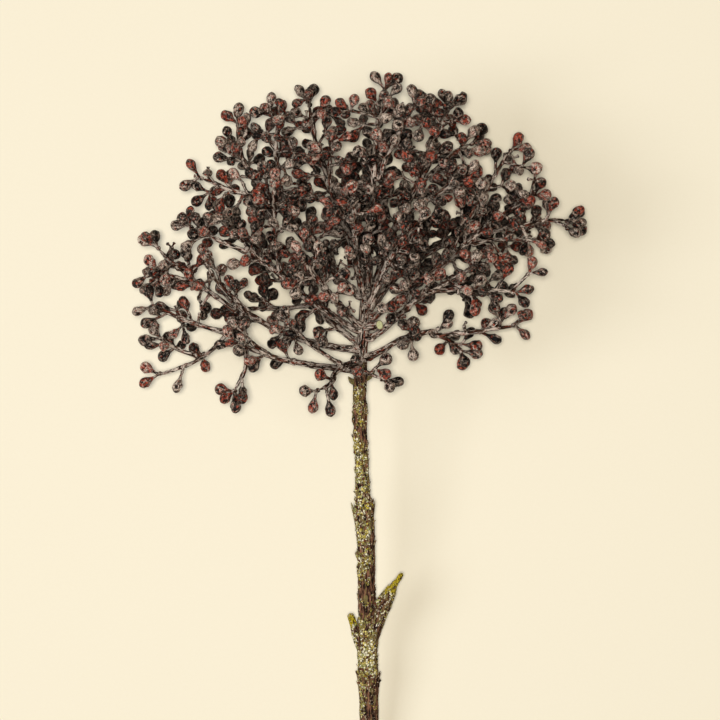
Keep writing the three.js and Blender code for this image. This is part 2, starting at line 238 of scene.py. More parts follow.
def make_piece(name, shape, materials, nodes, painted_shade=None):
    """The gathered shape as a piece of the sprig that stands for its solids."""
    points = np.concatenate(shape.points)
    # The painted shade of each point: how dark it is painted where the head hangs over it.
    shape.values["painted_shade"] = [painted_shade(points) if painted_shade else np.zeros(len(points))]
    mesh = bpy.data.meshes.new(name)
    mesh.from_pydata((points + CROWN) * MM, [], np.concatenate(shape.triangles).tolist())
    mesh.polygons.foreach_set("use_smooth", np.ones(len(mesh.polygons), bool))
    mesh.polygons.foreach_set("material_index", np.concatenate(shape.materials).astype(np.int32))
    for key, values in shape.values.items():
        kind, field = ("FLOAT_VECTOR", "vector") if key == "grain" else ("FLOAT", "value")
        values = np.concatenate(values).astype(np.float32)
        mesh.attributes.new(key, kind, "POINT").data.foreach_set(field, values.ravel())
    for material in materials:
        mesh.materials.append(material)
    mesh.update()
    piece = bpy.data.objects.new(name, mesh)
    bpy.context.scene.collection.objects.link(piece)
    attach(piece, "root")
    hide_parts(*nodes)


def shade(red, green, blue):
    """A colour given as it is seen, from 0 to 255, in the linear values of a shader."""
    parts = []
    for part in (red, green, blue):
        part = part / 255
        parts.append(part / 12.92 if part <= 0.04045 else ((part + 0.055) / 1.055) ** 2.4)
    return (*parts, 1.0)


class Wiring:
    """Shorter words for placing and joining the nodes of a material or of a node group."""

    def __init__(self, tree):
        self.tree = tree

    def put(self, socket, value):
        """Joins a socket to another one's value, or gives it a plain value."""
        if isinstance(value, bpy.types.NodeSocket):
            self.tree.links.new(value, socket)
        else:
            socket.default_value = value

    def node(self, kind, inputs, **settings):
        """The outputs of a new node. Its inputs are given by name or number."""
        node = self.tree.nodes.new("ShaderNode" + kind)
        for key, setting in settings.items():
            setattr(node, key, setting)
        for key, value in inputs.items():
            self.put(node.inputs[key], value)
        return node.outputs

    def attribute(self, name, output="Fac"):
        return self.node("Attribute", {}, attribute_name=name)[output]

    def noise(self, vector, scale, detail=2.0, roughness=0.55):
        inputs = {"Vector": vector, "Scale": scale, "Detail": detail, "Roughness": roughness}
        return self.node("TexNoise", inputs)["Fac"]

    def cell_edges(self, vector, scale):
        """The distance to the nearest edge between two cells."""
        inputs = {"Vector": vector, "Scale": scale}
        return self.node("TexVoronoi", inputs, feature="DISTANCE_TO_EDGE")["Distance"]

    def cell_values(self, vector, scale):
        """Two chance values that are the same all over each cell."""
        cells = self.node("TexVoronoi", {"Vector": vector, "Scale": scale})
        parts = self.node("SeparateColor", {0: cells["Color"]})
        return parts[0], parts[1]

    def math(self, operation, first, second=0.0, third=0.0):
        return self.node("Math", {0: first, 1: second, 2: third}, operation=operation)[0]

    def scaled(self, value, factor, added):
        return self.math("MULTIPLY_ADD", value, factor, added)

    def times(self, first, second):
        return self.math("MULTIPLY", first, second)

    def spread(self, value, low, high, to_low=0.0, to_high=1.0):
        """One value up to a limit, another beyond a second one, and smooth between them."""
        inputs = {"Value": value, "From Min": low, "From Max": high, "To Min": to_low, "To Max": to_high}
        return self.node("MapRange", inputs, interpolation_type="SMOOTHSTEP")["Result"]

    def spread_about(self, value, limit, half):
        """0 below a limit and 1 above it, with a soft edge of that half width."""
        return self.spread(value, self.math("SUBTRACT", limit, half), self.math("ADD", limit, half))

    def stretched(self, vector, *factors):
        return self.node("VectorMath", {0: vector, 1: factors}, operation="MULTIPLY")["Vector"]

    def mix(self, share, first, second):
        # Sockets 6 and 7 are the two colours and output 2 is their mix.
        return self.node("Mix", {0: share, 6: first, 7: second}, data_type="RGBA")[2]

    def group(self, group, **inputs):
        return self.node("Group", inputs, node_tree=group)

    def bump(self, shader, height, strength, distance):
        """Relief too fine for the mesh."""
        relief = self.node("Bump", {"Strength": strength, "Distance": distance, "Height": height})
        self.put(shader.inputs["Normal"], relief["Normal"])


def new_group(name, inputs, outputs):
    """A node group with named sockets: each input is (name, kind, first value)."""
    tree = bpy.data.node_groups.new(name, "ShaderNodeTree")
    kinds = {"value": "NodeSocketFloat", "vector": "NodeSocketVector", "colour": "NodeSocketColor"}
    for socket_name, kind, first in inputs:
        socket = tree.interface.new_socket(socket_name, in_out="INPUT", socket_type=kinds[kind])
        if first is not None:
            socket.default_value = first
    for socket_name, kind in outputs:
        tree.interface.new_socket(socket_name, in_out="OUTPUT", socket_type=kinds[kind])
    enter = tree.nodes.new("NodeGroupInput")
    leave = tree.nodes.new("NodeGroupOutput")
    return tree, Wiring(tree), enter.outputs, leave.inputs


def new_material(name, roughness, specular=0.5):
    """A material with a plain rough shader, and its wiring."""
    material = bpy.data.materials.new(name)
    material.use_nodes = True
    shader = material.node_tree.nodes["Principled BSDF"]
    shader.inputs["Roughness"].default_value = roughness
    shader.inputs["Specular IOR Level"].default_value = specular
    return material, Wiring(material.node_tree), shader


# Painted shade: colour darkened to near black where much of the head hangs over a place, shared by all that
# is there.
painted_shade_group, w, given, out = new_group(
    "Sheltered", [("Color", "colour", None), ("Shelter", "value", 0.0)], [("Color", "colour")])
w.put(out["Color"], w.mix(given["Shelter"], given["Color"], shade(5, 3, 2)))

# Patches: sharp-edged blotches of a size in millimetres, shared by bark, twig and berry skin.
patches, w, given, out = new_group(
    "Patches",
    [("Vector", "vector", None), ("Size", "value", 1.0), ("Cover", "value", 0.5), ("Edge", "value", 0.06)],
    [("Mask", "value")],
)
blotch = w.noise(given["Vector"], w.math("DIVIDE", 1.0, given["Size"]), 2.0, 0.6)
# Noise lies about 0.5, three quarters of it within 0.12.
limit = w.scaled(given["Cover"], -0.36, 0.68)
w.put(out["Mask"], w.spread_about(blotch, limit, given["Edge"]))

# Dry bloom and glints: the pale dust on raised edges, thin pale scuffs, and pale grains that are partly dust
# and partly painted glints, shared by twig and berry skin.
bloom_and_glints, w, given, out = new_group(
    "Dry bloom and glints",
    [("Vector", "vector", None), ("Ridge", "value", 0.0), ("Size", "value", 0.5), ("Amount", "value", 0.5)],
    [("Mask", "value")],
)
place = given["Vector"]
amount = given["Amount"]
scale = w.math("DIVIDE", 1.0, given["Size"])
lifted = w.scaled(given["Ridge"], 0.26, w.noise(place, scale, 3.0, 0.65))
dusted = w.spread_about(lifted, w.scaled(amount, -0.3, 0.82), 0.035)
# A scuff runs where a second noise crosses its middle value, and only in some places.
contour = w.noise(place, w.times(scale, 0.55), 1.5)
off_middle = w.math("ABSOLUTE", w.math("SUBTRACT", contour, 0.5))
scuff = w.spread(off_middle, 0.012, 0.038, 1.0, 0.0)
kept = w.spread(w.noise(place, w.times(scale, 0.3), 1.0), 0.47, 0.55)
scuff = w.times(w.times(scuff, kept), w.spread(amount, 0.0, 0.4))
# Grains of it lie scattered over everything: partly dust, partly painted glints that stand in for highlights.
chance_of_grain_and_glint, _ = w.cell_values(place, w.times(scale, 0.7))
grains_and_glints = w.times(w.spread(chance_of_grain_and_glint, 0.86, 0.9), w.spread(amount, 0.0, 0.4, 0.2, 0.9))
w.put(out["Mask"], w.math("MAXIMUM", w.math("MAXIMUM", dusted, scuff), grains_and_glints))

# Lichen: a crust of small scales, grey-green, yellow-green, cream and gold, with brown cracks
# between them, shared by stem and spurs.
lichen_crust, w, given, out = new_group(
    "Lichen",
    [("Vector", "vector", None), ("Cover", "value", 0.5), ("Gold", "value", 0.3)],
    [("Color", "colour"), ("Mask", "value"), ("Height", "value")],
)
place = given["Vector"]
cover = given["Cover"]
fine = w.noise(place, 0.95, 5.0, 0.62)
body = w.math("ADD", w.noise(place, 0.3, 2.0), fine)
mask = w.spread_about(body, w.scaled(cover, -0.36, 1.2), 0.02)
SCALES_A_MM = 1.15
chance_of_scale, tint = w.cell_values(place, SCALES_A_MM)
crack = w.spread(w.cell_edges(place, SCALES_A_MM), 0.02, 0.09, 1.0, 0.0)
scales = w.mix(w.spread(chance_of_scale, 0.1, 0.7), shade(157, 136, 68), shade(240, 218, 128))
scales = w.mix(w.spread(tint, 0.65, 0.8), scales, shade(186, 182, 112))
bleached = w.scaled(cover, 0.16, chance_of_scale)
scales = w.mix(w.spread(bleached, 0.78, 0.82), scales, shade(255, 244, 206))
scales = w.mix(w.spread(chance_of_scale, 0.12, 0.16, 1.0, 0.0), scales, shade(112, 64, 46))
gilt = w.scaled(given["Gold"], 0.3, w.noise(place, 0.9, 2.0))
gold = w.mix(fine, shade(164, 140, 22), shade(240, 212, 60))
scales = w.mix(w.spread(gilt, 0.63, 0.7), scales, gold)
w.put(out["Color"], w.mix(crack, scales, shade(52, 32, 20)))
w.put(out["Mask"], mask)
w.put(out["Height"], w.times(mask, w.math("SUBTRACT", fine, w.times(crack, 0.3))))


def bark_material(name, gold, dark, brown, fleck):
    """Cracked bark under lichen, where the mesh says that lichen grows."""
    material, w, shader = new_material(name, 0.8, 0.08)
    grain = w.attribute("grain", "Vector")
    cover = w.attribute("cover")
    streak = w.noise(w.stretched(grain, 1.0, 1.0, 0.22), 1.1, 4.0, 0.65)
    wood = w.mix(w.spread(streak, 0.42, 0.64), dark, brown)
    film = w.group(patches, Vector=w.stretched(grain, 1.0, 1.0, 0.35), Size=1.8,
                   Cover=w.scaled(cover, 0.45, 0.12), Edge=0.05)
    wood = w.mix(w.times(film["Mask"], 0.7), wood, shade(136, 120, 72))
    flecks = w.group(patches, Vector=w.stretched(grain, 1.0, 1.0, 0.6), Size=0.6,
                     Cover=w.scaled(cover, 0.3, 0.06), Edge=0.02)
    raised = w.times(flecks["Mask"], w.spread(w.attribute("ridge"), 0.25, 0.6))
    wood = w.mix(raised, wood, fleck)
    gilded = w.spread(w.attribute("tone"), 0.6, 0.85, 0.1, gold)
    crust = w.group(lichen_crust, Vector=grain, Cover=cover, Gold=gilded)
    bark = w.mix(crust["Mask"], wood, crust["Color"])
    # Painted shade: the bark is darkened towards near black where the head hangs over it.
    bark = w.group(painted_shade_group, Color=bark, Shelter=w.attribute("painted_shade"))
    w.put(shader.inputs["Base Color"], bark["Color"])
    w.bump(shader, w.scaled(crust["Height"], 1.6, streak), 0.9, 0.0005)
    return material


stem_bark = bark_material(
    "Stem bark", gold=0.35, dark=shade(24, 14, 10), brown=shade(148, 103, 77), fleck=shade(248, 230, 190))

# The cut faces: pale greenish wood with a brown rim where the bark begins.
cut_wood, w, shader = new_material("Cut wood", 0.75)
rings = w.noise(w.stretched(w.attribute("grain", "Vector"), 2.0, 2.0, 2.0), 0.9, 3.0)
face = w.mix(w.spread(rings, 0.35, 0.65), shade(240, 240, 190), shade(214, 210, 146))
w.put(shader.inputs["Base Color"], w.mix(w.attribute("tone"), face, shade(96, 58, 44)))
w.bump(shader, rings, 0.5, 0.0002)

STEM_STEP = 0.32
STEM_COLUMNS = 76
STEM_SOFTENING = 13  # steps over which its bends and its thickness are evened out
CAP_SHARES = np.array([0.05, 0.35, 0.65, 0.86, 0.97])  # of the radius, for the rings of a cut face
TIP_RINGS = 8
TWIG_BARK_FROM = -1.0  # above it the stem is as thin and dark as its rays
LICHEN_FROM = -132.0
LICHEN_TO = -10.5
LICHEN_WANTED = 0.5
LICHEN_CHANGE = 0.22
LESS_ON_RIGHT = 0.42
LEFT_STREAK = 0.62
# Bands of more and less lichen: the middle and the width along the stem, and how much.
LICHEN_BANDS = ((-16, 10, 0.14), (-50, 12, 0.1), (-68, 14, 0.14), (-113, 11, 0.44), (-93, 7, -0.3),
                (-102, 5, -0.26))
SCAR_RINGS = (-127.5, -131.5, -56.6)
# The forms of old bark: how wide each is, and how high it stands or how deep it is cut.
PLATE_WIDTH = 1.7
PLATE_HEIGHT = 0.46
CRUMB_WIDTH = 0.9
CRUMB_HEIGHT = 0.36
FURROW_WIDTH = 1.5
FURROW_DEPTH = 0.34
CRUST_WIDTH = 4.0
CRUST_HEIGHT = 0.36
SCAR_WIDTH = 0.55
SCAR_HEIGHT = 0.45
WORN_DEPTH = 0.48
LEAST_LEFT = 0.6  # of the radius, under the deepest cut
YOUNG_ROUGHNESS = 0.12
TWIG_ROUGHNESS = 0.08

stem_table = np.array(STEM, float)
stem_y = np.arange(stem_table[0, 1], stem_table[-1, 1] + STEM_STEP, STEM_STEP)
softening = np.hanning(STEM_SOFTENING) / np.hanning(STEM_SOFTENING).sum()
stem_line = np.stack([stem_y, stem_y, stem_y], 1)
for axis in (0, 2):
    bent = np.interp(stem_y, stem_table[:, 1], stem_table[:, axis])
    padded = np.pad(bent, STEM_SOFTENING // 2, mode="reflect", reflect_type="odd")
    stem_line[:, axis] = np.convolve(padded, softening, mode="valid")
stem_radius = np.interp(stem_y, stem_table[:, 1], stem_table[:, 3])
stem_radius = np.convolve(np.pad(stem_radius, STEM_SOFTENING // 2, mode="edge"), softening, mode="valid")

grain = rod_grain(stem_line, STEM_COLUMNS, stem_radius)
grid_y = np.repeat(stem_y, STEM_COLUMNS)
grid_radius = np.repeat(stem_radius, STEM_COLUMNS)
aged = 1 - smoothstep(LICHEN_TO, LICHEN_TO + 2.5, grid_y)
weathered = aged * smoothstep(LICHEN_FROM - 5, LICHEN_FROM + 2, grid_y)
lengthwise = grain * [1, 1, 0.2]
plates = smoothstep(-0.05, 0.1, rough(lengthwise, PLATE_WIDTH, 11))
furrows = 1 - np.abs(rough(lengthwise * [1, 1, 0.7], FURROW_WIDTH, 31))
crumbs = rough(grain, CRUMB_WIDTH, 51)
crusted = smoothstep(-0.1, 0.35, rough(grain * [1, 1, 0.6], CRUST_WIDTH, 71))
lichen_wanted = LICHEN_WANTED + LICHEN_CHANGE * rough(np.stack([grid_y * 0, grid_y * 0, grid_y], 1), 9.0, 91)
for centre, width, amount in LICHEN_BANDS:
    lichen_wanted += amount * bell(grid_y - centre, width)
# Less of it lies on the right side, which leaves the stem paler on the left and darker on the right. Below
# the ring of scars it keeps to the left side, and it thins out in the young wood above.
rightwards = np.tile(np.sin(turns_round(STEM_COLUMNS)), len(stem_y))
lichen_wanted -= LESS_ON_RIGHT * smoothstep(0.35, 0.95, rightwards)
left_streak = LEFT_STREAK * smoothstep(-0.25, -0.8, rightwards)
lichen = np.clip(lichen_wanted + 0.2 * crusted, 0, 1) * weathered + left_streak * (aged - weathered)
lichen = np.clip(lichen + 0.2 * (1 - aged) * crusted, 0, 1)
relief = weathered * (PLATE_HEIGHT * plates + CRUMB_HEIGHT * crumbs * (0.3 + 0.7 * crusted) - WORN_DEPTH)
relief -= FURROW_DEPTH * aged * smoothstep(0.74, 0.95, furrows)
relief += (aged - weathered) * YOUNG_ROUGHNESS * rough(lengthwise, 1.6, 14)
relief += (1 - aged) * TWIG_ROUGHNESS * rough(lengthwise, 1.2, 12)
relief += CRUST_HEIGHT * crusted * lichen
# The ring of bud scars: torn scales in two bands round the stem, and one under the great scales.
for centre in SCAR_RINGS:
    band = bell(grid_y - centre + 0.5 * rough(grain * [1, 1, 0], 2.2, 15), SCAR_WIDTH)
    relief += SCAR_HEIGHT * band * (0.4 + plates)
stem_radii = np.maximum(grid_radius + relief, LEAST_LEFT * grid_radius).reshape(-1, STEM_COLUMNS)
# The last rings close the tip inside the head to a blunt point.
stem_radii[-TIP_RINGS:] *= np.sqrt(np.linspace(0.97, 0.03, TIP_RINGS))[:, None]

# The cut end is a flat face of rings at the same place, each wider than the last.
cap = CAP_SHARES[:, None] * stem_radii[0][None, :]
whole_line = np.concatenate([np.repeat(stem_line[:1], len(cap), axis=0), stem_line])
points, triangles = tube(whole_line, np.concatenate([cap, stem_radii]))
cap_grain = points[:cap.size] * [1, 0.2, 1]
rim = np.repeat((0, 0, 0, 0, 1), STEM_COLUMNS)
on_cap = triangles.max(axis=1) // STEM_COLUMNS < len(cap)
on_cap |= (triangles == len(points) - 2).any(axis=1)
stem = Shape()
stem.add(
    points,
    triangles,
    np.where(points[triangles[:, 0], 1] > TWIG_BARK_FROM, 2, on_cap),
    grain=np.concatenate([cap_grain, grain]),
    ridge=np.concatenate([np.zeros(cap.size), np.clip(0.5 + 1.6 * relief, 0, 1)]),
    tone=np.concatenate([rim, 0.5 + 0.5 * rough(grain, 6, 19, 1)]),
    cover=np.concatenate([np.zeros(cap.size), lichen]),
)


def add_flake(shape, foot, tip, width, outwards, lichen, seed, thickness, columns=10):
    """A pointed scale of bark that lies against the stem at its foot and lifts at its tip."""
    share = np.linspace(0, 1, 2 + columns)
    line = between(foot, tip, share) - outwards * (np.sin(share * math.pi) * 0.12 * width)[:, None]
    turn = turns_round(columns)
    form = np.sqrt(np.clip(1 - (share * 1.02 - 0.12) ** 2 * 1.25, 0.004, 1))[:, None]
    section = 1 / np.sqrt((np.cos(turn) / thickness) ** 2 + np.sin(turn) ** 2)
    grain = rod_grain(line, columns, width) + [seed * 3.7, seed * 1.3, 0]
    bumps = min(0.2 * width, 0.25) * rough(grain * [1, 1, 0.4], 0.8, seed)
    radii = np.maximum(width * form * section[None, :] + bumps.reshape(-1, columns) * form * 0.6, 0.02)
    shape.add(*tube(line, radii, outwards), grain=grain, ridge=0.4 + bumps * 2, tone=0.4, cover=lichen)


def stem_place(y):
    """The middle of the stem at a place along it, and its radius there."""
    place = np.array([np.interp(y, stem_y, stem_line[:, k]) for k in range(3)])
    return place, float(np.interp(y, stem_y, stem_radius))


# The three great scales are old bark that has split from the wood and stands free at its top.
SCALE_FOOT_DROP = np.array([0, 4, 0.8])
SCALE_WIDTH = 2.2
SCALE_THICKNESS = 0.34  # of a flake's width, here and below
SCALE_COLUMNS = 20
SCALE_LICHEN = {"left_scale": 0.75, "right_scale": 0.2, "lower_scale": 0.4}
for index, (name, lichened) in enumerate(SCALE_LICHEN.items()):
    foot, tip = np.array(STEM_SNAGS[name][:2])
    middle, _ = stem_place(tip[1])
    outwards = unit((tip - middle) * [1, 0, 1])
    foot = foot - SCALE_FOOT_DROP - outwards * 0.8
    add_flake(stem, foot, tip, SCALE_WIDTH, outwards, lichened, 401 + index, SCALE_THICKNESS, SCALE_COLUMNS)

# Small flakes of bark that stand off all along the old wood.
FLAKES = 150
FLAKE_PLACES = (-129, -13)
FLAKE_RISE = (0.9, 2.6)
FLAKE_LIFT = (0.1, 0.55)
FLAKE_WIDTH = (0.35, 0.8)
FLAKE_THICKNESS = 0.35
# Broader flakes stand round the torn ring of bud scars.
RING_FLAKES = 13
RING_PLACES = (-133.5, -129.5)
RING_RISE = (2.6, 4.2)
RING_LIFT = (0.3, 1.2)
RING_WIDTH = (0.9, 1.4)
RING_THICKNESS = 0.32
RING_COLUMNS = 14
chance = Dice(5519)


def flake_root(y, turn, sunk):
    """Where a flake leaves the stem, which way is out there, and the middle and radius of the stem."""
    middle, radius = stem_place(y)
    outwards = np.array([math.cos(turn), 0.0, math.sin(turn)])
    return middle + outwards * (radius - sunk), outwards, middle, radius


for index in range(FLAKES):
    foot, outwards, middle, radius = flake_root(chance(*FLAKE_PLACES), chance(0, math.tau), 0.35)
    rise = chance(*FLAKE_RISE)
    tip = middle + outwards * (radius + chance(*FLAKE_LIFT)) + [chance(-0.4, 0.4), rise, 0.18 * rise]
    add_flake(stem, foot, tip, chance(*FLAKE_WIDTH), outwards, chance(0.1, 0.7), 420 + index, FLAKE_THICKNESS)
for index in range(RING_FLAKES):
    turn = (index + chance(-0.3, 0.3)) * math.tau / RING_FLAKES
    foot, outwards, middle, radius = flake_root(chance(*RING_PLACES), turn, 0.7)
    rise = chance(*RING_RISE)
    tip = middle + outwards * (radius + chance(*RING_LIFT)) + [0, rise, 0.18 * rise]
    add_flake(stem, foot, tip, chance(*RING_WIDTH), outwards, chance(0, 0.35), 580 + index,
              RING_THICKNESS, RING_COLUMNS)

# The old bud: a knob of crusted wood on the left of the stem.
BUD_RINGS = 14
BUD_COLUMNS = 18
foot, tip, wide, _ = STEM_SNAGS["old_bud"]
share = np.linspace(0, 1, BUD_RINGS)
line = between(np.array(foot), np.array(tip), share)
line[:, 1] += share ** 2 * 0.6
knob = wide * (1 - 0.18 * share) * np.sqrt(np.clip(1 - (share * 1.01) ** 6, 0.01, 1))
grain = rod_grain(line, BUD_COLUMNS, wide)
bumps = 0.3 * rough(grain, 1.0, 611)
radii = np.maximum(knob[:, None] + bumps.reshape(-1, BUD_COLUMNS), 0.04)
stem.add(*tube(line, radii), grain=grain, ridge=0.5 + bumps, tone=0.4, cover=0.8)

# The pruned stub: a short side shoot cut square, its face pale inside a ring of bark.
STUB_RINGS = 22
STUB_COLUMNS = 28
STUB_TONES = [0.6] * STUB_RINGS + [1, 0.2, 0, 0, 0]  # ring by ring, the last ones on the face
foot, tip, wide, narrow = STEM_SNAGS["pruned_stub"]
share = np.linspace(0, 1, STUB_RINGS)
line = between(np.array(foot), np.array(tip), share)
line = np.concatenate([line, np.repeat(line[-1:], len(CAP_SHARES), axis=0)])
grain = rod_grain(line, STUB_COLUMNS, wide)
bumps = 0.16 * rough(grain * [1, 1, 0.3], 1.1, 631).reshape(-1, STUB_COLUMNS)
lip = 0.14 * smoothstep(0.86, 0.95, share)
radii = (wide + (narrow - wide) * share + lip)[:, None] + bumps[:STUB_RINGS]
radii = np.concatenate([radii, CAP_SHARES[::-1, None] * radii[-1:] * 0.96])
points, triangles = tube(line, radii)
on_face = (triangles.min(axis=1) // STUB_COLUMNS >= STUB_RINGS) & (triangles.max(axis=1) != len(points) - 2)
on_face |= (triangles == len(points) - 1).any(axis=1)
grain[STUB_RINGS * STUB_COLUMNS:] = points[STUB_RINGS * STUB_COLUMNS:-2]
stem.add(points, triangles, np.where(on_face, 1, 2), grain=grain,
         ridge=np.clip(0.5 + bumps.ravel() * 2, 0, 1), tone=np.repeat(STUB_TONES, STUB_COLUMNS), cover=0.1)


# ------------------------------------------------------------------------------------------------
# Spurs and bracts
# Two old side shoots broken short, a broad one on the right and a thin one on the left, of the
# same wood as the stem and yellow with lichen at their ends. Under the head two dry bracts stand
# off the young wood. Each grows out of the stem, a shade away from it in the solids.
# ------------------------------------------------------------------------------------------------
SPURS = {
    "right_spur": {
        "points": [[2.8, -118, 17], [6.0, -106, 20], [8.6, -99.5, 22], [11.4, -94.2, 23.5],
                   [13.0, -91.8, 24], [16.4, -86.4, 25]],
        "radii": [2.6, 3.6, 3.4, 2.5, 1.3, 1.1],
        "flat": 0.8,
    },
    "left_spur": {
        "points": [[1.2, -121, 17], [-1.4, -112.5, 19], [-3.6, -107, 20], [-5.0, -103.2, 20.6]],
        "radii": [2.2, 2.5, 1.5, 1.3],
        "flat": 0.9,
    },
}
BRACTS = {
    "right_bract": {
        "points": [[0.4, -8.4, 36.4], [3.2, -6.4, 37.4], [5.4, -3.6, 38.2]],
        "radii": [0.7, 0.95, 0.25],
    },
    "left_bract": {
        "points": [[-1.6, -9.6, 36.2], [-4.2, -8.6, 37.2], [-5.6, -6.6, 37.8]],
        "radii": [0.7, 0.9, 0.25],
    },
}
ROUNDING = 2.2  # millimetres of path over which a bend is rounded
SPUR_STEP = 0.3
SPUR_COLUMNS = 40
SPUR_PLATE_HEIGHT = 0.34
SPUR_WORN_DEPTH = 0.2
SPUR_CRUMB_HEIGHT = 0.14  # and 0.2 more where its end is crusted
SPUR_FLAKES = 22
SPUR_FLAKE_PLACES = (0.12, 0.9)
SPUR_FLAKE_RISE = (0.8, 2.0)
SPUR_FLAKE_LIFT = (0.25, 0.7)
SPUR_FLAKE_WIDTH = (0.3, 0.65)
SPUR_FLAKE_THICKNESS = 0.4
spur_bark = bark_material(
    "Spur bark", gold=1.0, dark=shade(38, 22, 16), brown=shade(118, 80, 56), fleck=shade(246, 232, 204))


def smooth_path(points, radii, step):
    """A path through the points, rounded at each, and its radius, a step in millimetres apart."""
    points = np.array(points, float)
    place = gone_along(points)
    wanted = np.linspace(0, place[-1], int(place[-1] / step) + 1)
    window = max(3, int(ROUNDING / step) | 1)
    weights = np.hanning(window + 2)[1:-1]
    weights /= weights.sum()
    rounded = []
    for values in (*points.T, radii):
        straight = np.pad(np.interp(wanted, place, values), window // 2, mode="reflect", reflect_type="odd")
        rounded.append(np.convolve(straight, weights, mode="valid"))
    return np.stack(rounded[:3], 1), rounded[3]


for index, (name, spur) in enumerate(SPURS.items()):
    shape = Shape()
    line, radius = smooth_path(spur["points"], spur["radii"], SPUR_STEP)
    share = np.repeat(np.linspace(0, 1, len(line)), SPUR_COLUMNS)
    turn = np.tile(turns_round(SPUR_COLUMNS), len(line))
    grain = rod_grain(line, SPUR_COLUMNS, radius) + [40 + 20 * index, 0, 0]
    plates = smoothstep(-0.05, 0.12, rough(grain * [1, 1, 0.22], 1.5, 711 + index))
    crumbs = rough(grain, 0.8, 721 + index)
    crusted = smoothstep(0.62, 0.86, share)
    relief = SPUR_PLATE_HEIGHT * plates - SPUR_WORN_DEPTH + crumbs * (SPUR_CRUMB_HEIGHT + 0.2 * crusted)
    end = np.sqrt(np.clip(1 - smoothstep(0.955, 1.0, share) ** 2, 0.002, 1))
    flat = 1 - (1 - spur["flat"]) * np.cos(turn) ** 2
    radii = np.maximum((np.repeat(radius, SPUR_COLUMNS) * flat + relief) * end, 0.03)
    lichen = 0.32 + 0.68 * crusted + 0.35 * smoothstep(0.2, 0.9, -np.sin(turn))
    lichen = np.clip(lichen + 0.2 * rough(grain, 3.5, 731, 1), 0, 1)
    shape.add(*tube(line, radii.reshape(-1, SPUR_COLUMNS)), grain=grain,
              ridge=np.clip(0.5 + relief * 1.6, 0, 1), tone=share, cover=lichen)
    # Broken bark stands off the spur in small flakes.
    for k in range(SPUR_FLAKES):
        place = int(chance(*SPUR_FLAKE_PLACES) * (len(line) - 4))
        ahead = unit(line[place + 3] - line[place])
        outwards = unit(np.cross(ahead, unit(chance.triple(-1, 1))))
        foot = line[place] + outwards * (radius[place] * 0.8)
        tip = foot + ahead * chance(*SPUR_FLAKE_RISE) + outwards * chance(*SPUR_FLAKE_LIFT)
        add_flake(shape, foot, tip, chance(*SPUR_FLAKE_WIDTH), outwards, chance(0.3, 1.0), 740 + k,
                  SPUR_FLAKE_THICKNESS)
    make_piece(f"{name}_bark", shape, [spur_bark], [name])

# The bracts are thin and cupped, greenish-brown and dry along their edges.
BRACT_STEP = 0.25
BRACT_COLUMNS = 16
BRACT_THICKNESS = 0.26  # of its width
BRACT_CUPPING = 0.5
bract_skin, w, shader = new_material("Dry bract", 0.7)
grain = w.attribute("grain", "Vector")
veins = w.noise(w.stretched(grain, 3.0, 3.0, 0.5), 1.2, 2.0)
leafy = w.mix(w.spread(veins, 0.4, 0.6), shade(92, 74, 34), shade(140, 128, 62))
scorched = w.group(patches, Vector=grain, Size=0.9, Cover=0.45)
w.put(shader.inputs["Base Color"], w.mix(scorched["Mask"], leafy, shade(62, 38, 26)))
w.bump(shader, veins, 0.6, 0.0003)
for index, (name, bract) in enumerate(BRACTS.items()):
    shape = Shape()
    line, radius = smooth_path(bract["points"], bract["radii"], BRACT_STEP)
    share = np.linspace(0, 1, len(line))
    turn = turns_round(BRACT_COLUMNS)
    width = 1.35 * np.sin(math.pi * np.clip(0.16 + 0.84 * share, 0, 0.995)) ** 0.75
    leaf = width[:, None] * radius[len(radius) // 2]
    thin = 1 / np.sqrt((np.cos(turn) / BRACT_THICKNESS) ** 2 + np.sin(turn) ** 2)
    radii = leaf * (thin * (1 + BRACT_CUPPING * np.maximum(np.cos(turn), 0)))[None, :]
    grain = rod_grain(line, BRACT_COLUMNS)
    radii = np.maximum(radii + 0.05 * rough(grain, 0.8, 801 + index).reshape(radii.shape), 0.02)
    shape.add(*tube(line, radii, (0.2, 0.1, 1)), grain=grain + index * 9)
    make_piece(f"{name}_blade", shape, [bract_skin], [name])

# ------------------------------------------------------------------------------------------------
# Growth of the head
# Rays leave the stem and sprays leave the rays. Each ends in a cymule, a short stalk with a few
# berries, and bears more along its outer part. The same rule of growth as in the solids, with
# the same chance numbers, says where each of them stands. More berries then fill the head.
# ------------------------------------------------------------------------------------------------
GAP = 0.35
BERRY_LENGTH = 7.0
BERRY_RADIUS = 2.4
BERRY_WIDEST = 0.62
STALK_RADIUS = 0.65
SINGLE_STALK_RADIUS = 0.55
PEDICEL_RADIUS = 0.5
PEDICEL_LENGTH = 2.2
RAY = (1.45, 0.95, 4)  # the radius at the base and the tip, and the joints
SPRAY = (1.0, 0.65, 3)
TIP_ROOM = 9
GOLDEN_ANGLE = 2.4
BERRIED_SHARE = 0.7
TRIES = 16
LIFTS = 40
SEED = 20117
# How far each leans from its bearer's line, and how far it may miss its own bearing.
BERRY_LEAN = (0.52, 0.98)
BERRY_MISS = (-0.6, 0.6)
LEADER_LEAN = (0, 0.3)
CYMULE_LEAN = (0.7, 1.2)
MISS = (-0.5, 0.5)
CYMULE_TURN = 0.8  # more for each try
LEADER_LENGTH = 0.25  # of the reach that a cymule has
CYMULE_LENGTH = (0.45, 0.75)

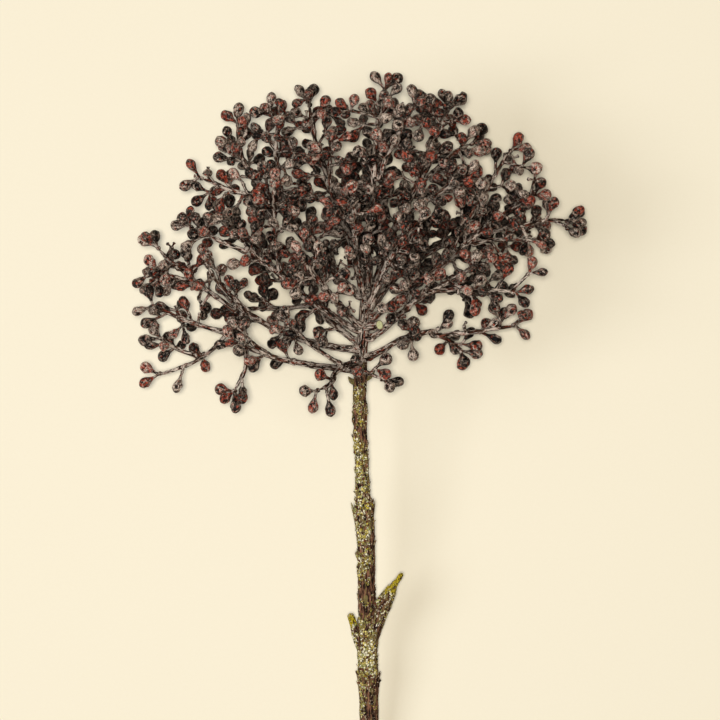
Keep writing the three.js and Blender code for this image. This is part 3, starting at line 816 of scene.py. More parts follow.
# Every ray and spray: its name, what bears it and how far along that, where its berries reach,
# how far it bows to its left, how far its cymules stand out, and how many cymules it carries.
BRANCHES = [
    ("left_low_ray", "stem", 0.85, [-60, 26, 44], 9, 7, 3),
    ("left_side_ray", "stem", 0.82, [-57, 8, 56], 5, 5, 3),
    ("front_low_ray", "stem", 0.83, [-16, -9, 68], -4, 6, 2),
    ("right_low_ray", "stem", 0.84, [38, 15, 44], 2, 7, 2),
    ("right_mid_ray", "stem", 0.87, [31, 33, 64], -3, 10, 4),
    ("right_long_ray", "stem", 0.90, [56, 58, 46], -3, 10, 4),
    ("right_top_ray", "stem", 0.95, [32, 88, 44], 2, 10, 4),
    ("top_ray", "stem", 0.99, [6, 92, 56], 0, 10, 4),
    ("left_top_ray", "stem", 0.97, [-20, 90, 42], 2, 10, 4),
    ("left_up_ray", "stem", 0.93, [-46, 76, 44], 4, 10, 4),
    ("left_mid_ray", "stem", 0.88, [-54, 52, 56], 5, 10, 4),
    ("front_left_ray", "stem", 0.89, [-26, 42, 80], 3, 10, 4),
    ("front_ray", "stem", 0.94, [-4, 66, 84], 3, 10, 4),
    ("front_right_ray", "stem", 0.92, [26, 60, 80], 3, 10, 4),
    ("back_left_ray", "stem", 0.86, [-42, 44, 5], 3, 10, 4),
    ("back_right_ray", "stem", 0.91, [38, 54, 5], 3, 10, 4),
    ("back_ray", "stem", 0.96, [-6, 78, 5], 3, 10, 4),
    ("far_left_spray", "left_low_ray", 0.97, [-88, 49, 50], 3, 7, 3),
    ("left_edge_spray", "far_left_spray", 0.55, [-92, 36, 38], 0, 6, 3),
    ("left_thicket_spray", "left_low_ray", 0.88, [-66, 42, 60], 2, 8, 4),
    ("left_bowed_spray", "left_low_ray", 0.90, [-88, -11, 36], 9, 4, 3),
    ("left_hook_spray", "left_bowed_spray", 0.62, [-88, 12, 32], 1, 5, 3),
    ("left_shelf_spray", "left_bowed_spray", 0.25, [-90, 24, 50], 1, 7, 4),
    ("left_drop_spray", "left_side_ray", 0.94, [-53, -20, 44], 3, 4, 2),
    ("left_club_spray", "left_side_ray", 0.80, [-50, 14, 66], 1, 7, 3),
    ("front_drop_spray", "front_low_ray", 0.93, [-23, -18, 60], 2, 6, 2),
    ("front_left_low_spray", "front_low_ray", 0.55, [-33, 17, 72], 1, 7, 4),
    ("front_crossing_spray", "front_low_ray", 0.45, [15, -10, 60], 0, 5, 2),
    ("right_drop_spray", "right_low_ray", 0.93, [46, 0, 36], 2, 5, 3),
    ("right_edge_low_spray", "right_low_ray", 0.97, [69, 14, 42], -2, 6, 3),
    ("right_shelf_spray", "right_mid_ray", 0.95, [68, 27, 58], 2, 7, 4),
    ("right_pendant_spray", "right_low_ray", 0.50, [22, 8, 62], 2, 5, 1),
    ("right_bough_spray", "right_mid_ray", 0.80, [56, 42, 70], 1, 9, 4),
    ("far_right_spray", "right_long_ray", 0.97, [90, 57, 46], 2, 6, 3),
    ("right_arm_spray", "right_long_ray", 0.88, [77, 48, 34], 1, 7, 3),
    ("right_arch_spray", "right_long_ray", 0.90, [74, 70, 54], 1, 7, 3),
    ("right_spire_spray", "right_long_ray", 0.75, [63, 91, 46], 2, 6, 3),
    ("right_crown_spray", "right_top_ray", 0.80, [50, 92, 34], 2, 8, 3),
    ("top_right_spray", "right_top_ray", 0.95, [37, 107, 48], 1, 7, 3),
    ("right_heart_spray", "right_top_ray", 0.55, [46, 74, 66], 1, 9, 4),
    ("top_tuft_spray", "top_ray", 0.95, [10, 115, 52], 1, 6, 3),
    ("top_inner_spray", "top_ray", 0.75, [24, 106, 66], 1, 8, 4),
    ("top_left_tuft_spray", "left_top_ray", 0.95, [-23, 110, 44], 1, 6, 3),
    ("top_gap_spray", "left_top_ray", 0.75, [-12, 92, 62], 1, 7, 3),
    ("left_shoulder_spray", "left_up_ray", 0.80, [-34, 102, 52], 2, 8, 3),
    ("left_corner_spray", "left_up_ray", 0.95, [-55, 91, 40], 1, 7, 3),
    ("left_horn_spray", "left_up_ray", 0.88, [-72, 75, 44], 1, 7, 3),
    ("left_ear_spray", "left_mid_ray", 0.95, [-75, 55, 60], 1, 7, 3),
    ("left_heart_spray", "left_mid_ray", 0.70, [-35, 73, 70], 1, 9, 4),
    ("back_left_spray", "back_left_ray", 0.75, [-58, 64, 16], 1, 9, 3),
    ("back_left_low_spray", "back_left_ray", 0.55, [-60, 20, 12], 1, 9, 3),
    ("back_right_spray", "back_right_ray", 0.75, [64, 60, 14], 1, 9, 3),
    ("back_right_low_spray", "back_right_ray", 0.50, [48, 24, 10], 1, 9, 3),
    ("back_top_spray", "back_ray", 0.75, [16, 96, 16], 1, 9, 3),
    ("back_inner_spray", "back_ray", 0.45, [6, 46, 6], 1, 7, 3),
]

roll = Dice(SEED)


class Rods:
    """Every round length that has been placed, so that the next one keeps clear of it."""

    ROOM = 12000

    def __init__(self):
        self.start = np.zeros((self.ROOM, 3))
        self.end = np.zeros((self.ROOM, 3))
        self.radius = np.zeros(self.ROOM)
        self.owner = np.zeros(self.ROOM, int)
        self.berry = np.zeros(self.ROOM, bool)
        self.count = 0
        self.numbers = {}

    def number(self, name):
        return self.numbers.setdefault(name, len(self.numbers))

    def add(self, owner, start, end, radius, berry=False):
        k = self.count
        self.start[k] = start
        self.end[k] = end
        self.radius[k] = radius
        self.owner[k] = self.number(owner)
        self.berry[k] = berry
        self.count += 1

    def distances(self, start, end):
        """The least distance from the line start-end to every rod's own line."""
        c = self.start[:self.count]
        second = self.end[:self.count] - c
        first = end - start
        apart = start - c
        aa = first @ first
        bb = np.einsum("ij,ij->i", second, second)
        ab = second @ first
        ad = apart @ first
        bd = np.einsum("ij,ij->i", second, apart)
        room = aa * bb - ab * ab
        crossing = room > 1e-9
        s = np.where(crossing, np.clip((ab * bd - ad * bb) / np.where(crossing, room, 1), 0, 1), 0)
        t = (ab * s + bd) / bb
        outside = (t < 0) | (t > 1)
        t = np.clip(t, 0, 1)
        s = np.where(outside, np.clip((ab * t - ad) / aa, 0, 1), s)
        gap = apart + s[:, None] * first - t[:, None] * second
        return np.sqrt(np.einsum("ij,ij->i", gap, gap))

    def is_clear(self, owner, start, end, radius, berry=False, ignored=None, gap=GAP, own_share=0.8):
        """True where a rod keeps its gap to other pieces, and a berry to its own piece's berries."""
        owners = self.owner[:self.count]
        own = owners == self.number(owner)
        together = radius + self.radius[:self.count]
        wanted = np.where(own, together * own_share, together + gap)
        skipped = own & ~(self.berry[:self.count] & berry)
        if ignored is not None:
            skipped |= owners == self.number(ignored)
        return bool(np.all(skipped | (self.distances(start, end) >= wanted)))

    def add_all(self, owner, parts, **limits):
        """Places the rods if every one of them is clear, and says whether it did."""
        clear = all(self.is_clear(owner, *part, **limits) for part in parts)
        if clear:
            for part in parts:
                self.add(owner, *part)
        return clear

    def occupy(self, owner, points, radii):
        """Marks a path as taken, one rod for each length between two joints."""
        for k in range(len(points) - 1):
            self.add(owner, points[k], points[k + 1], max(radii[k], radii[k + 1]))


def along_path(points, share):
    """The point at a share of a path, counted by its joints, and the direction there."""
    place = share * (len(points) - 1)
    k = min(int(place), len(points) - 2)
    step = points[k + 1] - points[k]
    return points[k] + step * (place - k), unit(step)


def taper(radii, share):
    place = share * (len(radii) - 1)
    k = min(int(place), len(radii) - 2)
    return radii[k] + (radii[k + 1] - radii[k]) * (place - k)


def leaned(direction, angle, bearing):
    """The direction leaned away from a line by an angle, towards a bearing round that line."""
    up = np.array([0.0, 0, 1]) if abs(direction[2]) < 0.9 else np.array([1.0, 0, 0])
    side = unit(np.cross(direction, up))
    over = np.cross(side, direction)
    sideways = side * math.cos(bearing) + over * math.sin(bearing)
    return direction * math.cos(angle) + sideways * math.sin(angle)


def branch_path(bearer, share, reached, bow, lift, size):
    """The bent path of a branch, from its bearer's side to short of the place its berries reach."""
    base, _, joints = size
    point, direction = along_path(bearer["points"], share)
    chord = reached - point
    tip = reached - unit(chord) * TIP_ROOM
    middle = (point + tip) / 2 + unit(np.array([-chord[1], chord[0], 0])) * bow
    middle[2] += lift
    lean = unit(middle - point)
    cosine = float(lean @ direction)
    clearance = taper(bearer["radii"], share) + GAP + base * abs(cosine)
    foot = point + unit(lean - direction * cosine) * clearance
    bend = (foot, middle, tip)
    return curve_points(bend, joints + 1, base), bend, point


def curve_points(bend, count, lowest):
    """Points along a quadratic curve, none lower than a radius above the table."""
    t = np.linspace(0, 1, count)[:, None]
    foot, middle, tip = bend
    points = foot * (1 - t) ** 2 + middle * (2 * (1 - t) * t) + tip * t * t
    points[:, 2] = np.maximum(points[:, 2], lowest)
    return points


def kept_up(foot, direction, reach, radius):
    """The direction bent up, where the piece at its far end would sink into the table."""
    lowest = (radius - foot[2]) / reach
    if direction[2] >= lowest:
        return direction
    rise = min(lowest, 0.95)
    flat = unit(np.array([direction[0], direction[1], 0])) * math.sqrt(1 - rise * rise)
    flat[2] = rise
    return flat


def berry_rods(foot, direction, pedicel, size=1.0, thread=PEDICEL_RADIUS):
    """The rods of one berry: its round body and the pedicel from its foot."""
    near = foot + direction * (pedicel + BERRY_RADIUS * size)
    far = foot + direction * (pedicel + (BERRY_LENGTH - BERRY_RADIUS) * size)
    return [(near, far, BERRY_RADIUS * size, True), (foot, near, thread, False)]


rods = Rods()
stem_points = [np.array(row[:3], float) for row in STEM]
stem_radii_given = [row[3] for row in STEM]
grown = {"stem": {"points": stem_points, "radii": stem_radii_given}}
rods.occupy("stem", stem_points, stem_radii_given)
for foot, tip, *radii in STEM_SNAGS.values():
    rods.occupy("stem", [np.array(foot, float), np.array(tip, float)], radii)
for name, side_piece in {**SPURS, **BRACTS}.items():
    rods.occupy(name, [np.array(point, float) for point in side_piece["points"]], side_piece["radii"])


def grow_branch(name, bearer_name, share, reached, bow):
    """Grows one ray or spray, at the first height of its bend that clears all its neighbours."""
    size = RAY if bearer_name == "stem" else SPRAY
    base, tip, joints = size
    radii = [base + (tip - base) * (k / joints) for k in range(joints + 1)]
    for n in range(LIFTS):
        lift = (1 if n % 2 == 0 else -1) * math.ceil(n / 2)
        points, bend, origin = branch_path(
            grown[bearer_name], share, np.array(reached, float), bow, lift, size)
        if all(rods.is_clear(name, points[k], points[k + 1], radii[k], ignored=None if k else bearer_name)
               for k in range(joints)):
            rods.occupy(name, points, radii)
            grown[name] = {"points": points, "radii": radii, "bend": bend, "origin": origin,
                           "stalks": [], "berries": [], "hubs": []}
            return
    raise RuntimeError(f"{name} finds no room")


def berry_reach(pedicel, size=1.0):
    """How far the widest part of a berry stands from the foot of its pedicel."""
    return pedicel + BERRY_LENGTH * BERRY_WIDEST * size


def grow_berry(name, foot, line, bearing):
    """Hangs a berry at the end of a stalk, if there is room for it."""
    for _ in range(TRIES):
        wanted = leaned(line, roll(*BERRY_LEAN), bearing + roll(*BERRY_MISS))
        direction = kept_up(foot, wanted, berry_reach(PEDICEL_LENGTH), BERRY_RADIUS)
        if rods.add_all(name, berry_rods(foot, direction, PEDICEL_LENGTH)):
            grown[name]["berries"].append((foot, direction, PEDICEL_LENGTH, 1.0))
            return


def grow_cymule(name, reach, index, count):
    """Grows one cymule: a stalk with a pair of berries, or every second time a single berry."""
    branch = grown[name]
    point, direction = along_path(branch["points"], 1 - (index / count) * BERRIED_SHARE)
    single = index % 2 == 1
    for n in range(TRIES):
        if index == 0:
            line = leaned(direction, roll(*LEADER_LEAN), roll(0, math.tau))
            stretch = reach * LEADER_LENGTH
        else:
            angle = roll(*CYMULE_LEAN)
            bearing = index * GOLDEN_ANGLE + roll(*MISS) + n * CYMULE_TURN
            line = leaned(direction, angle, bearing)
            stretch = reach * roll(*CYMULE_LENGTH)
        if single:
            pedicel = PEDICEL_LENGTH + stretch
            rising = kept_up(point, line, berry_reach(pedicel), BERRY_RADIUS)
            parts = berry_rods(point, rising, pedicel)
        else:
            rising = kept_up(point, line, stretch, STALK_RADIUS)
            parts = [(point, point + rising * stretch, STALK_RADIUS, False)]
        if rods.add_all(name, parts):
            end = point + rising * stretch
            branch["stalks"].append((point, end, SINGLE_STALK_RADIUS if single else STALK_RADIUS))
            branch["hubs"].append((end, rising))
            if single:
                branch["berries"].append((end, rising, PEDICEL_LENGTH, 1.0))
            else:
                bearing = roll(0, math.tau)
                grow_berry(name, end, rising, bearing)
                grow_berry(name, end, rising, bearing + math.pi)
            return


for name, bearer_name, share, reached, bow, _, _ in BRANCHES:
    grow_branch(name, bearer_name, share, reached, bow)
for index in range(max(row[-1] for row in BRANCHES)):
    for name, _, _, _, _, reach, count in BRANCHES:
        if index < count:
            grow_cymule(name, reach, index, count)

# More berries than the solids hold: each hub gets a fan of them, and more hubs stand along the
# twigs, thickest in the upper head, few in the lower fringe, and none in the open places.
fill = Dice(70913)
CLOSE = 0.05  # the clear space left between fillers
HUB_STEP = 6.0
HUB_FROM_TIP = 0.98  # shares of the twig between which the hubs stand
HUB_RANGE = 0.83
HUB_SHARE = 0.85  # of the twig's length is counted for them
HUB_LEAN = (0.6, 1.35)
HUB_BEARING = 1.2  # of the first one round its twig
HUB_TURN = 0.7  # more for each try
HUB_TRIES = 12
HUB_FULLNESS = 0.02  # the least that a hub may stand in
HUB_LENGTH = (0.35, 1.0)
LEAST_REACH = 7
FAN = 3
FAN_TRIES = 10
FAN_SIZE = (0.84, 1.06)
FAN_PEDICEL = (0.2, 1.0)
FAN_LEAN = (0.25, 1.15)
FAN_TURN = 0.9
FAN_OVERLAP = 0.78  # how near berries of one twig may come, of their radii together
FAN_PEDICEL_RADIUS = 0.4
SPARSE = 0.3  # the share of a fan that is left where the head is emptiest
FRINGE = (-4, 46)  # the heights between which the head grows full
OPEN_PLACES = (  # x, y and radius
    (-54, 38, 11), (-56, 14, 8), (-50, -2, 12), (-29, 48, 5), (30, 24, 9), (22, 4, 12),
    (62, 8, 12), (54, 34, 5), (-70, 22, 5), (-68, 8, 4), (-73, 58, 6), (62, 40, 6),
    (72, 58, 5), (-44, 19, 6), (-81, 42, 5), (-4, 108, 8), (52, 76, 6), (-5, 88, 5), (76, 41, 7),
    (-49, 12, 6),
)


def fullness(point):
    """How thickly the head is berried at a place, from 0 to 1."""
    for x, y, radius in OPEN_PLACES:
        if math.hypot(point[0] - x, point[1] - y) < radius:
            return 0.0
    return float(smoothstep(*FRINGE, point[1]))


def fill_fan(name, hub, line, count):
    """Hangs more berries round a hub, fewer where the head is open."""
    start = fill(0, math.tau)
    for k in range(count):
        if fill(0, 1) > SPARSE + (1 - SPARSE) * fullness(hub):
            continue
        for n in range(FAN_TRIES):
            size = fill(*FAN_SIZE)
            pedicel = PEDICEL_LENGTH * fill(*FAN_PEDICEL)
            angle = fill(*FAN_LEAN)
            wanted = leaned(line, angle, start + k * GOLDEN_ANGLE + fill(*MISS) + FAN_TURN * n)
            direction = kept_up(hub, wanted, berry_reach(pedicel, size), BERRY_RADIUS * size)
            parts = berry_rods(hub, direction, pedicel, size, FAN_PEDICEL_RADIUS)
            if rods.add_all(name, parts, gap=CLOSE, own_share=FAN_OVERLAP):
                grown[name]["berries"].append((hub, direction, pedicel, size))
                break


def add_hub(name, start, end, line):
    """Grows one more stalk with a fan of berries, if there is room for it."""
    if not rods.add_all(name, [(start, end, STALK_RADIUS)], gap=CLOSE):
        return False
    grown[name]["stalks"].append((start, end, STALK_RADIUS))
    grown[name]["hubs"].append((end, line))
    fill_fan(name, end, line, FAN + 1)
    return True


for name, *_ in BRANCHES:
    for hub, line in list(grown[name]["hubs"]):
        fill_fan(name, hub, line, FAN)
for name, _, _, _, _, reach, _ in BRANCHES:
    points = grown[name]["points"]
    length = sum(np.linalg.norm(points[k + 1] - points[k]) for k in range(len(points) - 1))
    hubs = max(1, int(length * HUB_SHARE / HUB_STEP))
    for h in range(hubs):
        point, direction = along_path(points, HUB_FROM_TIP - HUB_RANGE * (h + 0.5) / hubs)
        if fill(0, 1) > fullness(point):
            continue
        for n in range(HUB_TRIES):
            angle = fill(*HUB_LEAN)
            line = leaned(direction, angle, h * GOLDEN_ANGLE + HUB_BEARING + fill(*MISS) + HUB_TURN * n)
            stretch = max(reach, LEAST_REACH) * fill(*HUB_LENGTH)
            line = kept_up(point, line, stretch, STALK_RADIUS)
            end = point + line * stretch
            if fullness(end) > HUB_FULLNESS and add_hub(name, point, end, line):
                break

# Where the head is still open from above, a longer stalk reaches out from a twig near by.
OPEN_STEP = 2.6
OPEN_STRAY = (-1, 1)
OPEN_FROM = -10  # the lowest row that is looked at
SEARCHED = 0.15  # the share of the places that is looked at where the head is emptiest
SEARCHED_MORE = 1.2  # and how much more of them where it is full
SEARCHED_FULLNESS = 0.05
OPEN_ROOM = 1.6
CORE = (-2, 64, 58, 44)  # the densest part seen from above: its middle and its half widths
CORE_CROWDING = 1.2
NEIGHBOUR_REACH = 15.0
STALK_REACH = 22.0
NEAREST_TWIGS = 36
TWIG_SHARES = np.linspace(0.2, 1, 9)  # where along a twig it may begin
HEIGHTS_TRIED = 8
HEIGHT_CHANGE = (-12, 16)
LEAST_STALK = 3
LEAST_HEIGHT = 4
# The dense shoulders of the head, each a place that a stalk is led to: x and y.
FULL_PLACES = (
    (-52, 87), (-46, 91), (-41, 90), (-38, 77), (-30, 97), (-27, 82), (-26, 64), (-22, 104), (-13, 99),
    (-9, 78), (17, 99), (21, 83), (27, 103), (31, 86), (34, 101), (38, 91), (50, 62), (68, 71), (1, 94),
    (-62, 52), (64, 17), (50, 31), (-50, 95), (-36, 98), (61, 67), (63, 60), (-59, 59),
)
low_corner = rods.start[:rods.count].min(axis=0)
high_corner = rods.end[:rods.count].max(axis=0)
twig_points = [(name, along_path(grown[name]["points"], share)[0])
               for name, *_ in BRANCHES for share in TWIG_SHARES]
twig_places = np.array([point for _, point in twig_points])


def plan_room(place):
    """The clear room round a place seen from above, and whether twigs or berries surround it."""
    start = rods.start[:rods.count, :2]
    run = rods.end[:rods.count, :2] - start
    length = np.maximum(np.einsum("ij,ij->i", run, run), 1e-9)
    share = np.clip(np.einsum("ij,ij->i", place - start, run) / length, 0, 1)
    away = start + run * share[:, None] - place
    distance = np.hypot(away[:, 0], away[:, 1]) - rods.radius[:rods.count]
    sides = {(x > 0, y > 0) for x, y in away[distance < NEIGHBOUR_REACH]}
    return float(distance.min()), len(sides) == 4


def open_room(place):
    """The clear room that calls for another stalk: less of it in the dense core of the head."""
    x, y, wide, tall = CORE
    inwards = smoothstep(1.0, 0.7, math.hypot((place[0] - x) / wide, (place[1] - y) / tall))
    return OPEN_ROOM - CORE_CROWDING * inwards


def hang_over(place):
    """Grows a stalk from a twig near by to a place seen from above, at a free height."""
    away = np.hypot(*(twig_places[:, :2] - place).T)
    for which in np.argsort(away)[:NEAREST_TWIGS]:
        if away[which] >= STALK_REACH:
            continue
        name, point = twig_points[which]
        for _ in range(HEIGHTS_TRIED):
            end = np.array([*place, point[2] + fill(*HEIGHT_CHANGE)])
            if np.linalg.norm(end - point) < LEAST_STALK or not LEAST_HEIGHT <= end[2] <= high_corner[2]:
                continue
            if add_hub(name, point, end, unit(end - point)):
                return


for place in FULL_PLACES:
    hang_over(np.array(place, float))
for y in np.arange(max(low_corner[1], OPEN_FROM), high_corner[1], OPEN_STEP):
    for x in np.arange(low_corner[0], high_corner[0], OPEN_STEP):
        place = np.array([x + fill(*OPEN_STRAY), y + fill(*OPEN_STRAY)])
        full = fullness(place)
        if fill(0, 1) > SEARCHED + full * SEARCHED_MORE or full < SEARCHED_FULLNESS:
            continue
        room, surrounded = plan_room(place)
        if surrounded and room >= open_room(place):
            hang_over(place)

# How much of the head hangs over each place in it, in steps down from the top, each spread a
# little wider than the last: 0 in the open and near 1 under many berries.
# This sets the painted shade: what lies deep in the head is darkened towards near black.
PAINTED_SHADE_CELL = 1.5
PAINTED_SHADE_DEPTH = 0.62  # millimetres of wood and berry over a point that give most of the painted shade
PAINTED_SHADE_MOST = 0.94
PAINTED_SHADE_EDGE = 6  # millimetres round the head that the grid takes in
PAINTED_SHADE_SPREAD = 3  # times it is spread by one cell in each step down
PAINTED_SHADE_CLEAR = np.array([0, 0, 1.3])  # above a point, so that its own skin adds no painted shade to it
PAINTED_SHADE_SAMPLES = 12  # along each rod
start, end, radius = rods.start[:rods.count], rods.end[:rods.count], rods.radius[:rods.count]
length = np.linalg.norm(end - start, axis=1)
volume = math.pi * radius ** 2 * (length + radius * rods.berry[:rods.count]) / PAINTED_SHADE_SAMPLES
grid_low = low_corner - PAINTED_SHADE_EDGE
grid_count = ((high_corner + PAINTED_SHADE_EDGE + 2 - grid_low) / PAINTED_SHADE_CELL).astype(int)
filled = np.zeros(grid_count)
for k in range(PAINTED_SHADE_SAMPLES):
    places = start + (end - start) * ((k + 0.5) / PAINTED_SHADE_SAMPLES)
    cells = np.clip(((places - grid_low) / PAINTED_SHADE_CELL).astype(int), 0, grid_count - 1)
    np.add.at(filled, tuple(cells.T), volume / PAINTED_SHADE_CELL ** 3)
filled = np.minimum(filled, 1)
above = np.zeros(grid_count[:2])
hung = np.zeros(grid_count)
for level in range(grid_count[2] - 1, -1, -1):
    for _ in range(PAINTED_SHADE_SPREAD):
        padded = np.pad(above, 1)
        above = (padded[1:-1, 1:-1] * 4 + padded[:-2, 1:-1] + padded[2:, 1:-1] + padded[1:-1, :-2]
                 + padded[1:-1, 2:]) / 8
    hung[:, :, level] = above
    above = above + filled[:, :, level] * PAINTED_SHADE_CELL


def head_painted_shade(points):
    """How much painted shade each point gets from what hangs over it, from 0 to 1."""
    place = np.clip((points + PAINTED_SHADE_CLEAR - grid_low) / PAINTED_SHADE_CELL - 0.5, 0, grid_count - 1.001)
    cell = place.astype(int)
    total = np.zeros(len(points))
    for corner in CUBE_CORNERS:
        near = np.minimum(cell + corner, grid_count - 1)
        total += hung[tuple(near.T)] * corner_weight(corner, place - cell)
    return PAINTED_SHADE_MOST * (1 - np.exp(-total / PAINTED_SHADE_DEPTH))


# ------------------------------------------------------------------------------------------------
# Twigs of the head
# Every ray and spray with its stalks and pedicels is one grown piece of thin dark wood. It swells
# into a collar where it leaves its bearer and into a knot at each fork. Its bark is dry, ridged
# along the grain, red-brown where it has rubbed, and dusted pale on its edges.
# ------------------------------------------------------------------------------------------------
TWIG_STEP = 0.7
TWIG_COLUMNS = 12
TWIG_WANDER = 0.4  # how far a twig strays to either side of its curve
TWIG_END = (1.0, 0.9, 0.65, 0.3)
COLLAR_LENGTH = 3.2
COLLAR_SWELLING = 0.4
FORK_LENGTH = 1.0
FORK_SWELLING = 0.28
STALK_STEP = 0.8
STALK_COLUMNS = 8
STALK_BEND = (-0.35, 0.35)
PEDICEL_COLUMNS = 7
PEDICEL_RADII = (0.7, 0.6, 0.55, 0.6, 0.68)
BARE_SHARE = 0.12  # of the filling berries have dropped and left a pedicel with its calyx
BARE_COLUMNS = 9
BARE_LENGTH = (0.6, 2.0)
# Where the rings of a bare pedicel stand along it, and their radii: it ends in the cup of the calyx.
CALYX_PLACES = np.array([0.0, 0.45, 0.8, 0.92, 1.0, 0.97, 0.9])
CALYX_RADII = (0.42, 0.4, 0.5, 0.72, 0.74, 0.5, 0.2)

twig_bark, w, shader = new_material("Twig bark", 0.62, 0.02)
grain = w.attribute("grain", "Vector")
streak = w.noise(w.stretched(grain, 1.2, 1.2, 0.16), 1.6, 4.0, 0.66)
wood = w.mix(w.spread(streak, 0.44, 0.68), shade(6, 4, 2), shade(110, 81, 64))
rubbed = w.group(patches, Vector=w.stretched(grain, 1.0, 1.0, 0.3), Size=0.8, Cover=0.24)
wood = w.mix(w.times(rubbed["Mask"], 0.8), wood, shade(138, 68, 50))
dust_and_glints = w.group(
    bloom_and_glints, Vector=w.stretched(grain, 1.0, 1.0, 0.22), Ridge=w.attribute("ridge"), Size=0.42, Amount=0.3)
# Pale dust, with grains that are partly painted glints.
wood = w.mix(dust_and_glints["Mask"], wood, shade(214, 196, 178))
# Painted shade: the twigs are darkened towards near black where the head hangs over them.
wood = w.group(painted_shade_group, Color=wood, Shelter=w.attribute("painted_shade"))
w.put(shader.inputs["Base Color"], wood["Color"])
w.put(shader.inputs["Roughness"], w.spread(dust_and_glints["Mask"], 0.0, 1.0, 0.5, 0.8))
w.bump(shader, streak, 0.7, 0.0003)

# Above its lowest forks the stem wears the same bark as the twigs.
make_piece("stem_bark", stem, [stem_bark, cut_wood, twig_bark], ["main_stem"], head_painted_shade)


def add_rod(shape, line, radii, columns, seed, roughness, grain_offset):
    """A round length of wood with ridged bark."""
    grain = rod_grain(line, columns, radii) + grain_offset
    ridges = rough(grain * [1.5, 1.5, 0.35], 1.0, seed)
    warts = rough(grain, 1.3, seed + 7, 1)
    relief = 1 + roughness * (0.7 * ridges + 0.5 * warts)
    radii = np.asarray(radii, float)[:, None] * np.ones(columns)
    radii = np.maximum(radii * relief.reshape(radii.shape), 0.03)
    shape.add(*tube(line, radii), grain=grain, ridge=np.clip(0.5 + 0.9 * ridges, 0, 1))


def add_twig(shape, branch, index):
    """The main length of a ray or spray, from inside its bearer to its tip."""
    foot, middle, tip = branch["bend"]
    base, end_radius = branch["radii"][0], branch["radii"][-1]
    rough_length = np.linalg.norm(middle - foot) + np.linalg.norm(tip - middle)
    line = curve_points(branch["bend"], int(rough_length / TWIG_STEP) + 2, base)
    inside = between(branch["origin"], line[0], np.linspace(0.25, 0.85, 4))
    line = np.concatenate([inside, line])
    share = np.linspace(0, 1, len(line))
    gone = gone_along(line)
    radii = (base + (end_radius - base) * share) * (1 + COLLAR_SWELLING * bell(gone, COLLAR_LENGTH))
    for point, _, _ in branch["stalks"]:
        away = np.linalg.norm(line - point, axis=1)
        radii = radii * (1 + FORK_SWELLING * bell(away, FORK_LENGTH))
    # Wood strays a little between its forks.
    stray = np.stack([rough(np.stack([gone, gone * 0, gone * 0], 1), 9.0, 900 + 3 * index + k)
                      for k in range(3)], 1)
    line = line + stray * TWIG_WANDER * np.sin(math.pi * share)[:, None] ** 0.5
    radii[-4:] *= TWIG_END
    add_rod(shape, line, radii, TWIG_COLUMNS, 1000 + index, 0.2, [index * 7.3, index * 3.1, 0])


def add_stalk(shape, start, end, thick, seed):
    """A stalk between a twig and a hub, with a knot at the hub."""
    length = np.linalg.norm(end - start)
    share = np.linspace(0, 1, max(5, int(length / STALK_STEP) + 2))
    sideways = np.cross(unit(end - start), [0.3, 0.5, 0.8])
    line = between(start, end, share) + sideways * (np.sin(share * math.pi) * chance(*STALK_BEND))[:, None]
    radii = thick * (0.95 + 0.3 * bell(share * length, 1.2)) + 0.32 * bell((1 - share) * length - 0.3, 0.8)
    radii[0] *= 0.6
    radii[-1] *= 0.45
    add_rod(shape, line, radii, STALK_COLUMNS, seed, 0.24, [seed * 1.7, seed * 0.9, 0])


def add_pedicel(shape, foot, direction, length, size, seed):
    """The thread that holds a berry, widening into the berry's neck."""
    line = foot + direction * ((length + 0.5) * np.linspace(0, 1, len(PEDICEL_RADII)))[:, None]
    radii = np.array(PEDICEL_RADII) * size
    add_rod(shape, line, radii, PEDICEL_COLUMNS, seed, 0.16, [seed * 1.1, seed * 2.3, 0])


def add_bare_pedicel(shape, foot, direction, length, seed):
    """A pedicel that has lost its berry."""
    line = foot + direction * (CALYX_PLACES * length)[:, None]
    add_rod(shape, line, CALYX_RADII, BARE_COLUMNS, seed, 0.3, [seed * 1.9, seed * 0.7, 0])


berries = {}
seed = 2000
for index, (name, *_) in enumerate(BRANCHES):
    branch = grown[name]
    shape = Shape()
    add_twig(shape, branch, index)
    for start, end, thick in branch["stalks"]:
        seed += 1
        add_stalk(shape, start, end, thick, seed)
    berries[name] = []
    for foot, direction, pedicel, size in branch["berries"]:
        seed += 1
        filling = size != 1.0
        if chance(0, 1) < BARE_SHARE * filling:
            add_bare_pedicel(shape, foot, direction, pedicel + chance(*BARE_LENGTH), seed)
        else:
            add_pedicel(shape, foot, direction, pedicel, size, seed)
            berries[name].append((foot + direction * pedicel, direction, size))
    make_piece(f"{name}_wood", shape, [twig_bark], [name], head_painted_shade)

# ------------------------------------------------------------------------------------------------
# Berries
# Withered drupes, pear-shaped, each on its pedicel. The dried skin is thin and dark grey-brown,
# sunk and creased between raised rims, brick red in patches and dusted pale where it is raised,
# with a low gloss. A few worn forms are turned and sized for each berry.
# ------------------------------------------------------------------------------------------------
BERRY_COLUMNS = 16
BERRY_FORMS = 10
